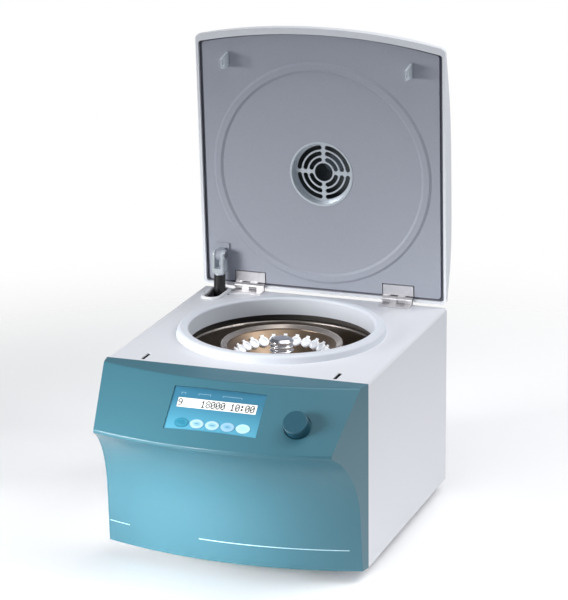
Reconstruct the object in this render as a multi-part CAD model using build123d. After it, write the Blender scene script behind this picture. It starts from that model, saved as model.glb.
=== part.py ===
from build123d import *
import math
import os

# A bench microlitre centrifuge with its lid open, as it stands ready for loading.
# Origin: the rotor's spin axis on the bench. +Y points to the rear, +X to the right, +Z up.
# Everything is in millimetres.

# Tubes and rotor: 24 vials at 45 degrees set every size from the rotor out to the casing
TUBES = 24
SLANT = math.sqrt(0.5)
TUBE_RADIUS = 5.3
TUBE_FIT = 0.2
TUBE_STRAIGHT = 18.0
TUBE_LENGTH = 37.0
TUBE_TIP_RADIUS = 1.8
TUBE_TIP_ROOM = 0.6
CAP_RADIUS = 6.5
CAP_HEIGHT = 3.2
CAP_GAP = 1.27
CAP_TAB = 2.2
ROTOR_WALL = 16.3
ROTOR_HEIGHT = 55.5
ROTOR_SKIRT = 19.0
CONE_HALF = 11.5
RIM_WIDTH = 9.5
RIM_RING_LAP = 1.5
RIM_RING_HEIGHT = 4.5
HUB_RADIUS = 18.0
HUB_HEIGHT = 8.5
NUT_RADIUS = 15.0
NUT_HEIGHT = 25.0
NUT_GROOVES = 3
NUT_GROOVE_PITCH = 5.2
NUT_GROOVE_DEPTH = 1.6

TUBE_CIRCLE = TUBES * (2 * CAP_RADIUS + CAP_GAP) / (2 * math.pi)
CONE_OUTER_RADIUS = TUBE_CIRCLE + CONE_HALF
CONE_INNER_RADIUS = TUBE_CIRCLE - CONE_HALF
ROTOR_RIM_RADIUS = CONE_OUTER_RADIUS + RIM_WIDTH
RIM_RING_INNER = CONE_OUTER_RADIUS + RIM_RING_LAP
ROTOR_RADIUS = TUBE_CIRCLE + TUBE_LENGTH * SLANT + ROTOR_WALL

# Rotor chamber, seal and guard, outwards from the rotor
ROTOR_ROOM = 20.0
SEAL_OVERHANG = 2.2
SEAL_WALL = 5.7
SEAL_FLANGE = 9.5
SEAL_SHOULDER = 5.5
SEAL_HEIGHT = 9.7
SEAL_SKIRT = 12.6
BOWL_SHEET = 1.5
BOWL_CORNER = 14.0
BOWL_RIM_ROLL = 3.0
BOWL_RIM_DROP = 21.0
GUARD_GAP = 7.5
GUARD_WALL = 5.5
INSULATION_GAP = 2.0

BOWL_RADIUS = ROTOR_RADIUS + ROTOR_ROOM
SEAL_INNER_RADIUS = BOWL_RADIUS - SEAL_OVERHANG
CHAMBER_OPENING_RADIUS = SEAL_INNER_RADIUS + SEAL_WALL
SEAL_FLANGE_RADIUS = CHAMBER_OPENING_RADIUS + SEAL_FLANGE
SEAL_SHOULDER_RADIUS = CHAMBER_OPENING_RADIUS + SEAL_SHOULDER
INSULATION_INNER_RADIUS = CHAMBER_OPENING_RADIUS + INSULATION_GAP
GUARD_INNER_RADIUS = BOWL_RADIUS + GUARD_GAP
GUARD_RADIUS = GUARD_INNER_RADIUS + GUARD_WALL

# Casing round the chamber
SIDE_MARGIN = 44.5
END_MARGIN = 38.5
FOOT_HEIGHT = 15.0
SHEET = 1.5
FOLD_RADIUS = 4.0
SHEET_FIT = 0.2
TRAY_THICKNESS = 2.0
TRAY_FLANGE = 22.0
SEAT_GAP = 0.3
RUNNING_FIT = 0.05

WIDTH = 2 * (CHAMBER_OPENING_RADIUS + SIDE_MARGIN)
DEPTH = 2 * (CHAMBER_OPENING_RADIUS + END_MARGIN)
SIDE = WIDTH / 2
FRONT = -DEPTH / 2
REAR = DEPTH / 2
INNER_HALF = SIDE - SHEET
INSERT_HALF = INNER_HALF - SHEET_FIT
TRAY_FLOOR = FOOT_HEIGHT + TRAY_THICKNESS

# Drive, stacked up from the tray to the top plate
MOTOR_CLEARANCE = 23.0
MOTOR_RADIUS = 50.0
MOTOR_LOWER = 55.0
MOTOR_UPPER = 54.0
MOTOR_FLANGE_RADIUS = 80.0
MOTOR_FLANGE = 5.0
MOTOR_NECK_RADIUS = 20.0
MOTOR_NECK = 12.0
MOTOR_NECK_PROUD = 3.5
MOTOR_FINS = 24
MOTOR_FIN = 2.5
MOTOR_FIN_GAP = 3.0
SHAFT_RADIUS = 6.0
SHAFT_TAIL = 6.0
SHAFT_IN_NUT = 16.0
BOOT_RADIUS = 36.0
BOOT_THICKNESS = 3.0
BOWL_NECK_RADIUS = 26.0
DECK_THICKNESS = 3.0
DECK_MARGIN = 19.0
DECK_CORNER = 60.0
DECK_HOLE_GAP = 4.0
DECK_POST_RADIUS = 7.0
DECK_POST_INSET = 45.0
DAMPER_RADIUS = 11.0
DAMPER_HEIGHT = 12.0
DAMPER_INSET = 14.0
ROTOR_LIFT = 13.5
ROTOR_SUNK = 17.5

MOTOR_BOTTOM = TRAY_FLOOR + MOTOR_CLEARANCE
MOTOR_SEAT = MOTOR_BOTTOM + MOTOR_LOWER
DECK_TOP = MOTOR_SEAT - DAMPER_HEIGHT
DECK_HALF = DEPTH / 2 - DECK_MARGIN
DECK_HOLE_RADIUS = MOTOR_RADIUS + DECK_HOLE_GAP
DECK_POST_PLACE = DECK_HALF - DECK_POST_INSET
DAMPER_CIRCLE = MOTOR_FLANGE_RADIUS - DAMPER_INSET
MOTOR_TOP = MOTOR_SEAT + MOTOR_UPPER
MOTOR_NECK_TOP = MOTOR_TOP + MOTOR_NECK
BOWL_FLOOR = MOTOR_NECK_TOP - MOTOR_NECK_PROUD
ROTOR_BOTTOM = BOWL_FLOOR + ROTOR_LIFT
ROTOR_TOP = ROTOR_BOTTOM + ROTOR_HEIGHT
ROTOR_SHOULDER = ROTOR_BOTTOM + ROTOR_SKIRT
HUB_TOP = ROTOR_TOP - 2 * CONE_HALF + HUB_HEIGHT
NUT_TOP = HUB_TOP + NUT_HEIGHT
SHAFT_BOTTOM = MOTOR_BOTTOM - SHAFT_TAIL
SHAFT_TOP = HUB_TOP + SHAFT_IN_NUT
TOP = ROTOR_TOP + ROTOR_SUNK
UNDERSIDE = TOP - SHEET
SIDE_HEIGHT = TOP - FOOT_HEIGHT
BOWL_RIM = TOP - BOWL_RIM_DROP

# Feet and base vents
FOOT_RADIUS = 14.0
FOOT_SOLE_RADIUS = 12.0
FOOT_INSET = 37.0
FOOT_X = SIDE - FOOT_INSET
FOOT_Y = REAR - FOOT_INSET
BASE_VENTS = 8
BASE_VENT_LENGTH = 70.0
BASE_VENT_WIDTH = 4.0
BASE_VENT_PITCH = 12.0

# Front moulding: a level crown, a control face at 45 degrees, a lip and a cove below it
CROWN_DEPTH = 43.3
CONTROL_DROP = 62.5
LIP_BAND = 4.0
COVE_MIDDLE_BACK = 45.8
COVE_MIDDLE_DROP = 48.5
COVE_END_BACK = 61.6
COVE_END_DROP = 106.5
SKIRT_BACK = 66.0
BOW_SAGITTA = 27.0
FASCIA_WALL = 3.0
FASCIA_TAPER = 0.2
CROWN_RADIUS = 5.0
LIP_RADIUS = 1.6
LOOM_WINDOW_HALF = 70.0
LOOM_WINDOW_DROP = 54.0
LOOM_WINDOW_HEIGHT = 70.0

RIDGE_Y = FRONT - CROWN_DEPTH
LIP_Y = RIDGE_Y - CONTROL_DROP
LIP_Z = TOP - CONTROL_DROP

# Control panel, in the plane of the control face: X across, distance down from the ridge, height off it
CONTROL_FACE = Plane(origin=(0, RIDGE_Y, TOP), x_dir=(1, 0, 0), z_dir=(0, -1, 1))
PANEL_HALF = 57.3
PANEL_HIGH = 10.5
PANEL_LOW = 66.4
PANEL_RECESS = 3.5
PANEL_THICKNESS = 1.5
PANEL_FIT = 0.1
POCKET_FLOOR = 3.0
POCKET_MARGIN = 4.7
DISPLAY_MARGIN = 8.1
DISPLAY_DOWN = 13.7
DISPLAY_HEIGHT = 12.3
DISPLAY_SUNK = 0.3
DISPLAY_FIT = 0.15
DISPLAY_BODY_MARGIN = 6.0
DISPLAY_BODY = 5.0
BOARD_THICKNESS = 1.6
BOARD_BOSS_RADIUS = 2.0
BOARD_BOSS_FROM_WALL = 1.0
BOARD_BOSS_INSET = 3.0
DISPLAY_HALF = PANEL_HALF - DISPLAY_MARGIN
DISPLAY_HIGH = PANEL_HIGH + DISPLAY_DOWN
DISPLAY_LOW = DISPLAY_HIGH + DISPLAY_HEIGHT

# Keys
KEY_NAMES = ("stop_key", "start_key", "pulse_key", "select_key", "lid_key")
KEY_LENGTH = 17.4
KEY_WIDTH = 11.8
KEY_SPACE = 1.7
KEY_CENTRE_X = 0.9
KEY_UP = 10.0
KEY_PROUD = 0.4
KEY_TRAVEL = 0.35
KEY_GAP = 0.2
KEY_STEM_RADIUS = 2.0
SWITCH_SIZE = 6.0
SWITCH_HEIGHT = 3.7
SWITCH_PLAY = 0.4
KEY_PITCH = KEY_LENGTH + KEY_SPACE
KEY_DOWN = PANEL_LOW - KEY_UP

# Knob and its encoder
KNOB_INSET = 63.0
KNOB_X = SIDE - KNOB_INSET
KNOB_DOWN = 44.0
KNOB_RADIUS = 15.0
KNOB_FACE = 4.7
KNOB_SEAT = 10.0
KNOB_EDGE = 1.4
KNOB_RECESS_GAP = 1.5
KNOB_BOSS_WALL = 3.5
KNOB_BOSS_DEPTH = 16.0
KNOB_STEM_RADIUS = 3.0
KNOB_STEM_IN_ENCODER = 6.0
ENCODER_SIZE = 14.0
ENCODER_DEPTH = 8.0

# Lid, drawn shut: S runs forward from the hinge axis, N runs up from it
HINGE_INSET = 2.0
HINGE_RISE = 6.5
OPEN_ANGLE = 87.4
LID_SIDE_INSET = 0.5
LID_OVERHANG = 13.0
LID_WALL = 3.5
LID_SKIN = 2.5
LID_REAR_S = -2.5
LID_BOW = 17.0
LID_RIM_N = 1.5
LID_CORNER = 7.0
LID_FRONT_RIM = 8.2
LID_EDGE_HEIGHT = 30.0
LID_CROWN_HEIGHT = 60.0
LID_EDGE_FRONT = (30.0, 2.6)
LID_EDGE_REAR = (28.5, 5.0)
LID_CROWN_FRONT = (50.0, 2.75)
LID_CROWN_REAR = (52.0, 2.7)
LID_LIP = 6.0
LID_EDGE_RADIUS = 9.0
LID_CEILING = LID_RIM_N + LID_CROWN_HEIGHT + 15.0
PANEL_N = 3.5
LINER_THICKNESS = 2.0
LINER_SIDE_GAP = 4.5
LINER_REAR_S = 4.0
LINER_FRONT_GAP = 1.1
LINER_CORNER = 4.0
BEAD_GAP = 2.7
BEAD_WIDTH = 13.3
BEAD_SLOPE = 3.2
BEAD_HEIGHT = 2.0
STRIP_THICKNESS = 1.5
STRIP_LAP = 3.0
LID_BOSS_RADIUS = 5.0
LID_BOSS_SIDE = 16.0
LID_BOSS_END = 30.0

HINGE_Y = REAR - HINGE_INSET
HINGE_Z = TOP + HINGE_RISE
ROTOR_S = HINGE_Y
LID_HALF = SIDE - LID_SIDE_INSET
LID_FRONT_S = HINGE_Y - FRONT + LID_OVERHANG
LID_MIDDLE_S = LID_FRONT_S / 2
LINER_HALF = LID_HALF - LID_WALL - LINER_SIDE_GAP
BEAD_INNER = SEAL_FLANGE_RADIUS + BEAD_GAP
BEAD_OUTER = BEAD_INNER + BEAD_WIDTH
LID_BOSS_X = LID_HALF - LID_WALL - LID_BOSS_SIDE
LID_BOSS_S = (LID_REAR_S + LID_BOSS_END, LID_MIDDLE_S, LID_FRONT_S - LID_BOSS_END)

# Vent grille and viewing port in the lid
GRILLE_SHEET = 1.3
GRILLE_RECESS = 9.0
GRILLE_LIP = 1.3
GRILLE_EYE_RADIUS = 11.9
GRILLE_RING = 2.1
GRILLE_SLOT = 5.8
GRILLE_ROWS = 3
GRILLE_EDGE = 3.9
GRILLE_SPOKE = 4.3
DUCT_FIT = 0.2
DUCT_WALL = 2.0
DUCT_DEPTH = 51.5
PORT_RADIUS = 13.0
WINDOW_RADIUS = 15.0
WINDOW_LAP = 4.0
WINDOW_SUNK = 0.4
DUCT_TOP_N = PANEL_N + DUCT_DEPTH
GRILLE_RADIUS = GRILLE_EYE_RADIUS + GRILLE_ROWS * (GRILLE_RING + GRILLE_SLOT) + GRILLE_EDGE + GRILLE_SHEET

# Hinges
HINGE_FROM_SIDE = 85.0
HINGE_LENGTH = 40.5
KNUCKLES = 4
KNUCKLE_RADIUS = 3.5
KNUCKLE_GAP = 0.3
HINGE_PIN_RADIUS = 1.5
LEAF_THICKNESS = 2.0
HOUSING_LEAF = 18.0
LID_LEAF = 17.5
LEAF_PROUD = 0.4
LEAF_CLEARANCE = 4.2
LEAF_MARGIN = 1.2
HINGE_INNER_X = SIDE - HINGE_FROM_SIDE

# Latches
STRIKER_FROM_SIDE = 43.5
STRIKER_FROM_FRONT = 16.5
STRIKER_SHEET = 2.0
STRIKER_BASE = 19.4
STRIKER_TIP = 12.5
STRIKER_LENGTH = 28.0
STRIKER_WINDOW_N = -16.0
STRIKER_WINDOW_TALL = 8.5
STRIKER_WINDOW_LONG = 8.6
STRIKER_FLANGE = 12.0
SLOT_WIDTH = 5.0
SLOT_LENGTH = 23.0
LOCK_LENGTH = 27.0
LOCK_WIDTH = 31.0
LOCK_HEIGHT = 30.0
BOLT_RADIUS = 3.0
BOLT_LENGTH = 24.0
STRIKER_X = SIDE - STRIKER_FROM_SIDE
STRIKER_S = HINGE_Y - FRONT - STRIKER_FROM_FRONT

# Gas strut at the left rear corner
STRUT_FROM_SIDE = 28.0
STRUT_S = 41.5
STRUT_N = -10.1
STRUT_FOOT_FROM_REAR = 22.0
STRUT_FOOT_DROP = 159.0
CLEVIS_WIDTH = 16.0
CLEVIS_GAP = 8.4
CLEVIS_HEAD = 7.0
CLEVIS_SLOT = 16.5
CLEVIS_LENGTH = 25.5
CLEVIS_PIN_RADIUS = 4.0
CLEVIS_PIN_HEAD = 1.0
CLEVIS_PIN_HEAD_RIM = 1.2
LUG_THICKNESS = 8.0
LUG_RADIUS = 7.0
LUG_PLATE_X = 9.0
LUG_PLATE_S = 13.0
CYLINDER_RADIUS = 7.5
CYLINDER_LENGTH = 112.0
ROD_RADIUS = 4.0
ROD_ENGAGED = 12.0
ROD_BORE = 66.0
ROD_EYE_RADIUS = 8.0
ROD_EYE_THICKNESS = 10.0
STRUT_OPENING_HALF = 11.0
STRUT_OPENING_FROM_REAR = 5.5
STRUT_OPENING_LENGTH = 50.0
STRUT_OPENING_CORNER = 4.0
BEZEL_RIM = 3.0
BEZEL_HEIGHT = 3.5
BEZEL_LINER = 1.0
BRACKET_EAR = 3.0
BRACKET_PLAY = 0.6
BRACKET_WIDTH = 24.0
BRACKET_FLANGE = 8.0
STRUT_X = STRUT_FROM_SIDE - SIDE
STRUT_FOOT_Y = REAR - STRUT_FOOT_FROM_REAR
STRUT_FOOT_Z = TOP - STRUT_FOOT_DROP
STRUT_OPENING_REAR = REAR - STRUT_OPENING_FROM_REAR
STRUT_OPENING_FRONT = STRUT_OPENING_REAR - STRUT_OPENING_LENGTH

# Rear panel
INLET_FROM_SIDE = 53.0
INLET_RISE = 47.0
INLET_WIDTH = 48.0
INLET_HEIGHT = 26.0
INLET_FLANGE = 2.5
INLET_DEPTH = 26.0
INLET_MARGIN = 4.0
ROCKER_FROM_INLET = 50.0
ROCKER_WIDTH = 14.0
ROCKER_HEIGHT = 22.0
ROCKER_FRAME = 3.0
ROCKER_DEPTH = 16.0
ROCKER_TILT = 8.0
REAR_VENT_ROWS = 9
REAR_VENT_COLUMNS = 3
REAR_VENT_LENGTH = 44.0
REAR_VENT_WIDTH = 4.0
REAR_VENT_PITCH_Z = 10.0
REAR_VENT_PITCH_X = 54.0
REAR_VENT_X = -54.0
REAR_VENT_RISE = 75.0
SCREW_HEAD_RADIUS = 3.8
SCREW_HEAD_HEIGHT = 2.2
SCREW_RADIUS = 2.0
SCREW_INSET = 9.0
INLET_X = SIDE - INLET_FROM_SIDE
INLET_Z = FOOT_HEIGHT + INLET_RISE
ROCKER_X = INLET_X - ROCKER_FROM_INLET
ROCKER_Z = INLET_Z
REAR_VENT_Z = FOOT_HEIGHT + REAR_VENT_RISE

# Power board, on spacers behind the motor
POWER_BOARD_LENGTH = 124.0
POWER_BOARD_WIDTH = 76.0
POWER_BOARD_FROM_REAR = 9.0
POWER_BOARD_LIFT = 8.0
POWER_BOARD_SPACER = 3.5
POWER_BOARD_INSET = 6.0


def block(x0, x1, y0, y1, z0, z1):
    """A box given by its limits."""
    return Pos((x0 + x1) / 2, (y0 + y1) / 2, (z0 + z1) / 2) * Box(x1 - x0, y1 - y0, z1 - z0)


def post(x, y, z0, z1, radius):
    """An upright round post."""
    return Pos(x, y, (z0 + z1) / 2) * Cylinder(radius, z1 - z0)


def tube(inner, outer, z0, z1):
    """An upright round tube about the spin axis."""
    return post(0, 0, z0, z1, outer) - post(0, 0, z0, z1, inner)


def turned(points):
    """A solid turned about the spin axis from radius and height pairs."""
    return revolve(Plane.XZ * make_face(Polyline(points, close=True)), Axis.Z)


def cross_pin(x0, x1, y, z, radius):
    """A round pin along X."""
    return Pos((x0 + x1) / 2, y, z) * Rot(0, 90, 0) * Cylinder(radius, x1 - x0)


def pill(x, y, z0, z1, length_x, length_y, corner):
    """An upright plug with rounded corners."""
    outline = Pos(x, y, z0) * RectangleRounded(length_x, length_y, corner)
    return extrude(outline, z1 - z0, dir=(0, 0, 1))


def on_face(x, down, height):
    """A place on the control face."""
    return CONTROL_FACE * Pos(x, -down, height)


def face_block(x0, x1, high, low, z0, z1):
    """A box in the frame of the control face."""
    return CONTROL_FACE * block(x0, x1, -low, -high, z0, z1)


# Sheet-metal casing


def base_plate():
    tray = block(-INSERT_HALF, INSERT_HALF, FRONT + SHEET, REAR - SHEET, FOOT_HEIGHT, FOOT_HEIGHT + TRAY_FLANGE)
    hollow = block(
        -INSERT_HALF + TRAY_THICKNESS, INSERT_HALF - TRAY_THICKNESS,
        FRONT + SHEET + TRAY_THICKNESS, REAR - SHEET - TRAY_THICKNESS,
        TRAY_FLOOR, TOP,
    )
    tray -= hollow
    first = -(BASE_VENTS - 1) * BASE_VENT_PITCH / 2
    for row in range(BASE_VENTS):
        y = first + row * BASE_VENT_PITCH
        tray -= pill(0, y, 0, TRAY_FLOOR, BASE_VENT_LENGTH, BASE_VENT_WIDTH, BASE_VENT_WIDTH / 2 - 0.01)
    return tray


def rubber_feet():
    profile = [
        (0, FOOT_HEIGHT), (FOOT_RADIUS, FOOT_HEIGHT), (FOOT_RADIUS, FOOT_HEIGHT - 3.0),
        (FOOT_SOLE_RADIUS, 0), (0, 0),
    ]
    foot = turned(profile)
    return [Pos(x, y, 0) * foot for x in (-FOOT_X, FOOT_X) for y in (-FOOT_Y, FOOT_Y)]


def housing_cover():
    height = SIDE_HEIGHT + FOLD_RADIUS
    outer = Pos(0, TOP - height / 2) * RectangleRounded(WIDTH, height, FOLD_RADIUS)
    inner = Pos(0, UNDERSIDE - height / 2) * RectangleRounded(WIDTH - 2 * SHEET, height, FOLD_RADIUS - SHEET)
    shell = extrude(Plane.XZ * (outer - inner), DEPTH / 2, both=True)
    shell &= block(-WIDTH, WIDTH, FRONT, REAR, FOOT_HEIGHT, TOP)
    shell -= post(0, 0, UNDERSIDE - 1, TOP + 1, CHAMBER_OPENING_RADIUS)
    slot_y = HINGE_Y - STRIKER_S
    for side in (-1, 1):
        shell -= pill(side * STRIKER_X, slot_y, UNDERSIDE - 1, TOP + 1, SLOT_WIDTH, SLOT_LENGTH, 1.2)
    return shell - strut_opening(0, UNDERSIDE - 1, TOP + 1)


def strut_opening(grow, z0, z1):
    middle = (STRUT_OPENING_FRONT + STRUT_OPENING_REAR) / 2
    length = STRUT_OPENING_REAR - STRUT_OPENING_FRONT
    return pill(
        STRUT_X, middle, z0, z1,
        2 * (STRUT_OPENING_HALF + grow), length + 2 * grow, STRUT_OPENING_CORNER + grow,
    )


def strut_bezel():
    collar = strut_opening(BEZEL_RIM, TOP, TOP + BEZEL_HEIGHT)
    collar = fillet(collar.faces().sort_by(Axis.Z)[-1].edges(), 1.2)
    sleeve = strut_opening(-SHEET_FIT, UNDERSIDE - 1, TOP + BEZEL_HEIGHT)
    return collar + sleeve - strut_opening(-BEZEL_LINER, UNDERSIDE - 2, TOP + BEZEL_HEIGHT + 1)


def end_sheet(y0, y1):
    """A sheet that closes one end of the casing, rounded where the cover is folded."""
    sheet = block(-INSERT_HALF, INSERT_HALF, y0, y1, FOOT_HEIGHT, UNDERSIDE - SHEET_FIT)
    return fillet(sheet.edges().filter_by(Axis.Y).group_by(Axis.Z)[-1], FOLD_RADIUS)


def front_bulkhead():
    sheet = end_sheet(FRONT, FRONT + SHEET)
    high = TOP - LOOM_WINDOW_DROP
    low = high - LOOM_WINDOW_HEIGHT
    return sheet - block(-LOOM_WINDOW_HALF, LOOM_WINDOW_HALF, FRONT - 1, FRONT + SHEET + 1, low, high)


def screw_places():
    top_z = UNDERSIDE - SCREW_INSET
    low_z = FOOT_HEIGHT + TRAY_FLANGE + SCREW_INSET
    side_x = INSERT_HALF - SCREW_INSET
    return [(x, z) for z in (low_z, top_z) for x in (-side_x, 0, side_x)]


def rear_panel():
    sheet = end_sheet(REAR - SHEET, REAR)
    slot = Rot(90, 0, 0) * pill(0, 0, -2, 2, REAR_VENT_LENGTH, REAR_VENT_WIDTH, REAR_VENT_WIDTH / 2 - 0.01)
    for column in range(REAR_VENT_COLUMNS):
        for row in range(REAR_VENT_ROWS):
            x = REAR_VENT_X + (column - (REAR_VENT_COLUMNS - 1) / 2) * REAR_VENT_PITCH_X
            z = REAR_VENT_Z + row * REAR_VENT_PITCH_Z
            sheet -= Pos(x, REAR - SHEET / 2, z) * slot
    inlet_half = INLET_WIDTH / 2 + SHEET_FIT
    inlet_rise = INLET_HEIGHT / 2 + SHEET_FIT
    sheet -= block(
        INLET_X - inlet_half, INLET_X + inlet_half, REAR - 3, REAR + 3, INLET_Z - inlet_rise, INLET_Z + inlet_rise
    )
    frame_half = ROCKER_WIDTH / 2 + ROCKER_FRAME - 1
    frame_rise = ROCKER_HEIGHT / 2 + ROCKER_FRAME - 1
    sheet -= block(
        ROCKER_X - frame_half - SHEET_FIT, ROCKER_X + frame_half + SHEET_FIT, REAR - 3, REAR + 3,
        ROCKER_Z - frame_rise - SHEET_FIT, ROCKER_Z + frame_rise + SHEET_FIT,
    )
    for x, z in screw_places():
        sheet -= Pos(x, REAR, z) * Rot(90, 0, 0) * Cylinder(SCREW_RADIUS + RUNNING_FIT, 4)
    return sheet


def rear_screws():
    head = Rot(-90, 0, 0) * Pos(0, 0, SCREW_HEAD_HEIGHT / 2) * Cylinder(SCREW_HEAD_RADIUS, SCREW_HEAD_HEIGHT)
    shank = Rot(90, 0, 0) * Pos(0, 0, SHEET / 2) * Cylinder(SCREW_RADIUS, SHEET)
    screw = head + shank
    return [Pos(x, REAR, z) * screw for x, z in screw_places()]


# Front moulding and its controls


def fascia_profile():
    skirt_y = LIP_Y + SKIRT_BACK
    cove_start = (LIP_Y, LIP_Z - LIP_BAND)
    cove_middle = (LIP_Y + COVE_MIDDLE_BACK, LIP_Z - COVE_MIDDLE_DROP)
    cove_end = (LIP_Y + COVE_END_BACK, LIP_Z - COVE_END_DROP)
    back = FRONT + BOW_SAGITTA + FASCIA_WALL
    outline = Polyline((back, FOOT_HEIGHT), (back, TOP), (RIDGE_Y, TOP), (LIP_Y, LIP_Z), cove_start)
    outline += ThreePointArc(cove_start, cove_middle, cove_end)
    outline += Polyline(cove_end, (skirt_y, FOOT_HEIGHT), (back, FOOT_HEIGHT))
    face = make_face(outline)
    ridge = face.vertices().sort_by_distance((RIDGE_Y, TOP, 0))[0]
    face = fillet(ridge, CROWN_RADIUS)
    lip = face.vertices().sort_by_distance((LIP_Y, LIP_Z, 0))[0]
    face = fillet(lip, LIP_RADIUS)
    nose = face.vertices().sort_by_distance((cove_start[0], cove_start[1], 0))[0]
    return fillet(nose, LIP_RADIUS)


def bowed(face):
    """Carry an upright profile sideways along the shallow bow of the front."""
    sections = []
    for step in range(-2, 3):
        across = step / 2
        sections.append(Pos(across * WIDTH / 2, BOW_SAGITTA * across ** 2, 0) * (Plane.YZ * face))
    return loft(sections)


def fascia_plan(inset):
    """The block that gives the moulding its tapered sides, narrower by an inset."""
    depth = FRONT - LIP_Y + 2 * FASCIA_WALL
    back_half = WIDTH / 2 - inset + FASCIA_TAPER * inset
    front_half = WIDTH / 2 - inset - FASCIA_TAPER * depth
    outline = Polyline(
        (-back_half, FRONT + inset), (back_half, FRONT + inset), (front_half, FRONT - depth),
        (-front_half, FRONT - depth), close=True,
    )
    return Pos(0, 0, FOOT_HEIGHT) * extrude(make_face(outline), SIDE_HEIGHT, dir=(0, 0, 1))


def pocket_floor_height():
    return -PANEL_RECESS - PANEL_THICKNESS


def front_fascia():
    profile = fascia_profile()
    skin = bowed(profile) & fascia_plan(0)
    hollow = bowed(offset(profile, -FASCIA_WALL, kind=Kind.INTERSECTION)) & fascia_plan(FASCIA_WALL)
    floor = pocket_floor_height()
    back = floor - POCKET_FLOOR
    tray = face_block(
        -PANEL_HALF - POCKET_MARGIN, PANEL_HALF + POCKET_MARGIN,
        PANEL_HIGH - POCKET_MARGIN, PANEL_LOW + POCKET_MARGIN, back, 0,
    )
    recess_radius = KNOB_RADIUS + KNOB_RECESS_GAP
    boss_radius = recess_radius + KNOB_BOSS_WALL
    knob_boss = on_face(KNOB_X, KNOB_DOWN, -KNOB_BOSS_DEPTH / 2) * Cylinder(boss_radius, KNOB_BOSS_DEPTH)
    body = skin - hollow + (skin & (tray + knob_boss))
    body -= face_block(-PANEL_HALF, PANEL_HALF, PANEL_HIGH, PANEL_LOW, floor, 10)
    opening = DISPLAY_HALF + DISPLAY_FIT
    body -= face_block(
        -opening, opening, DISPLAY_HIGH - DISPLAY_FIT, DISPLAY_LOW + DISPLAY_FIT, back - 1, floor + 1
    )
    for x in key_places():
        body -= on_face(x, KEY_DOWN, back) * Cylinder(KEY_STEM_RADIUS + KEY_GAP, 12)
    body -= on_face(KNOB_X, KNOB_DOWN, -KNOB_SEAT + 15) * Cylinder(recess_radius, 30)
    body -= on_face(KNOB_X, KNOB_DOWN, -KNOB_BOSS_DEPTH) * Cylinder(KNOB_STEM_RADIUS + KEY_GAP, 20)
    boss_x = PANEL_HALF + POCKET_MARGIN - BOARD_BOSS_FROM_WALL - BOARD_BOSS_RADIUS
    for x in (-boss_x, boss_x):
        for down in (PANEL_HIGH, PANEL_LOW):
            boss = on_face(x, down, back - DISPLAY_BODY / 2)
            body += boss * Cylinder(BOARD_BOSS_RADIUS, DISPLAY_BODY)
    return body


def control_panel():
    half = PANEL_HALF - PANEL_FIT
    plate = face_block(
        -half, half, PANEL_HIGH + PANEL_FIT, PANEL_LOW - PANEL_FIT, pocket_floor_height(), -PANEL_RECESS
    )
    opening = DISPLAY_HALF + DISPLAY_FIT
    plate -= face_block(-opening, opening, DISPLAY_HIGH - DISPLAY_FIT, DISPLAY_LOW + DISPLAY_FIT, -10, 10)
    for x in key_places():
        plate -= on_face(x, KEY_DOWN, -10) * oval(KEY_LENGTH + 2 * KEY_GAP, KEY_WIDTH + 2 * KEY_GAP, 20)
    return plate


def oval(length, width, height):
    return extrude(Ellipse(length / 2, width / 2), height)


def key_places():
    middle = (len(KEY_NAMES) - 1) / 2
    return [KEY_CENTRE_X + (index - middle) * KEY_PITCH for index in range(len(KEY_NAMES))]


def panel_key(x):
    top = -PANEL_RECESS + KEY_PROUD
    bottom = pocket_floor_height() + KEY_TRAVEL + RUNNING_FIT
    cap = on_face(x, KEY_DOWN, bottom) * oval(KEY_LENGTH, KEY_WIDTH, top - bottom)
    stem_end = switch_top() + SWITCH_PLAY
    stem = on_face(x, KEY_DOWN, (stem_end + bottom) / 2) * Cylinder(KEY_STEM_RADIUS, bottom - stem_end)
    return cap + stem


def board_top():
    return pocket_floor_height() - POCKET_FLOOR - DISPLAY_BODY


def switch_top():
    return board_top() + SWITCH_HEIGHT


def lcd_display():
    floor_back = pocket_floor_height() - POCKET_FLOOR
    glass = face_block(-DISPLAY_HALF, DISPLAY_HALF, DISPLAY_HIGH, DISPLAY_LOW, floor_back, -PANEL_RECESS - DISPLAY_SUNK)
    margin = DISPLAY_BODY_MARGIN
    body = face_block(
        -DISPLAY_HALF - margin, DISPLAY_HALF + margin, DISPLAY_HIGH - margin, DISPLAY_LOW + margin,
        board_top(), floor_back,
    )
    return glass + body


def control_board():
    half = PANEL_HALF + POCKET_MARGIN
    board = face_block(
        -half, half, PANEL_HIGH - BOARD_BOSS_INSET, PANEL_LOW + BOARD_BOSS_INSET,
        board_top() - BOARD_THICKNESS, board_top(),
    )
    for x in key_places():
        board += face_block(
            x - SWITCH_SIZE / 2, x + SWITCH_SIZE / 2, KEY_DOWN - SWITCH_SIZE / 2, KEY_DOWN + SWITCH_SIZE / 2,
            board_top(), switch_top(),
        )
    return board


def control_knob():
    height = KNOB_FACE + KNOB_SEAT - SEAT_GAP
    body = Cylinder(KNOB_RADIUS, height, align=(Align.CENTER, Align.CENTER, Align.MIN))
    body = fillet(body.edges().sort_by(Axis.Z)[-1], KNOB_EDGE)
    stem = KNOB_BOSS_DEPTH - KNOB_SEAT + SEAT_GAP + KNOB_STEM_IN_ENCODER
    body += Pos(0, 0, -stem / 2) * Cylinder(KNOB_STEM_RADIUS, stem)
    return on_face(KNOB_X, KNOB_DOWN, -KNOB_SEAT + SEAT_GAP) * body


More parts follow.
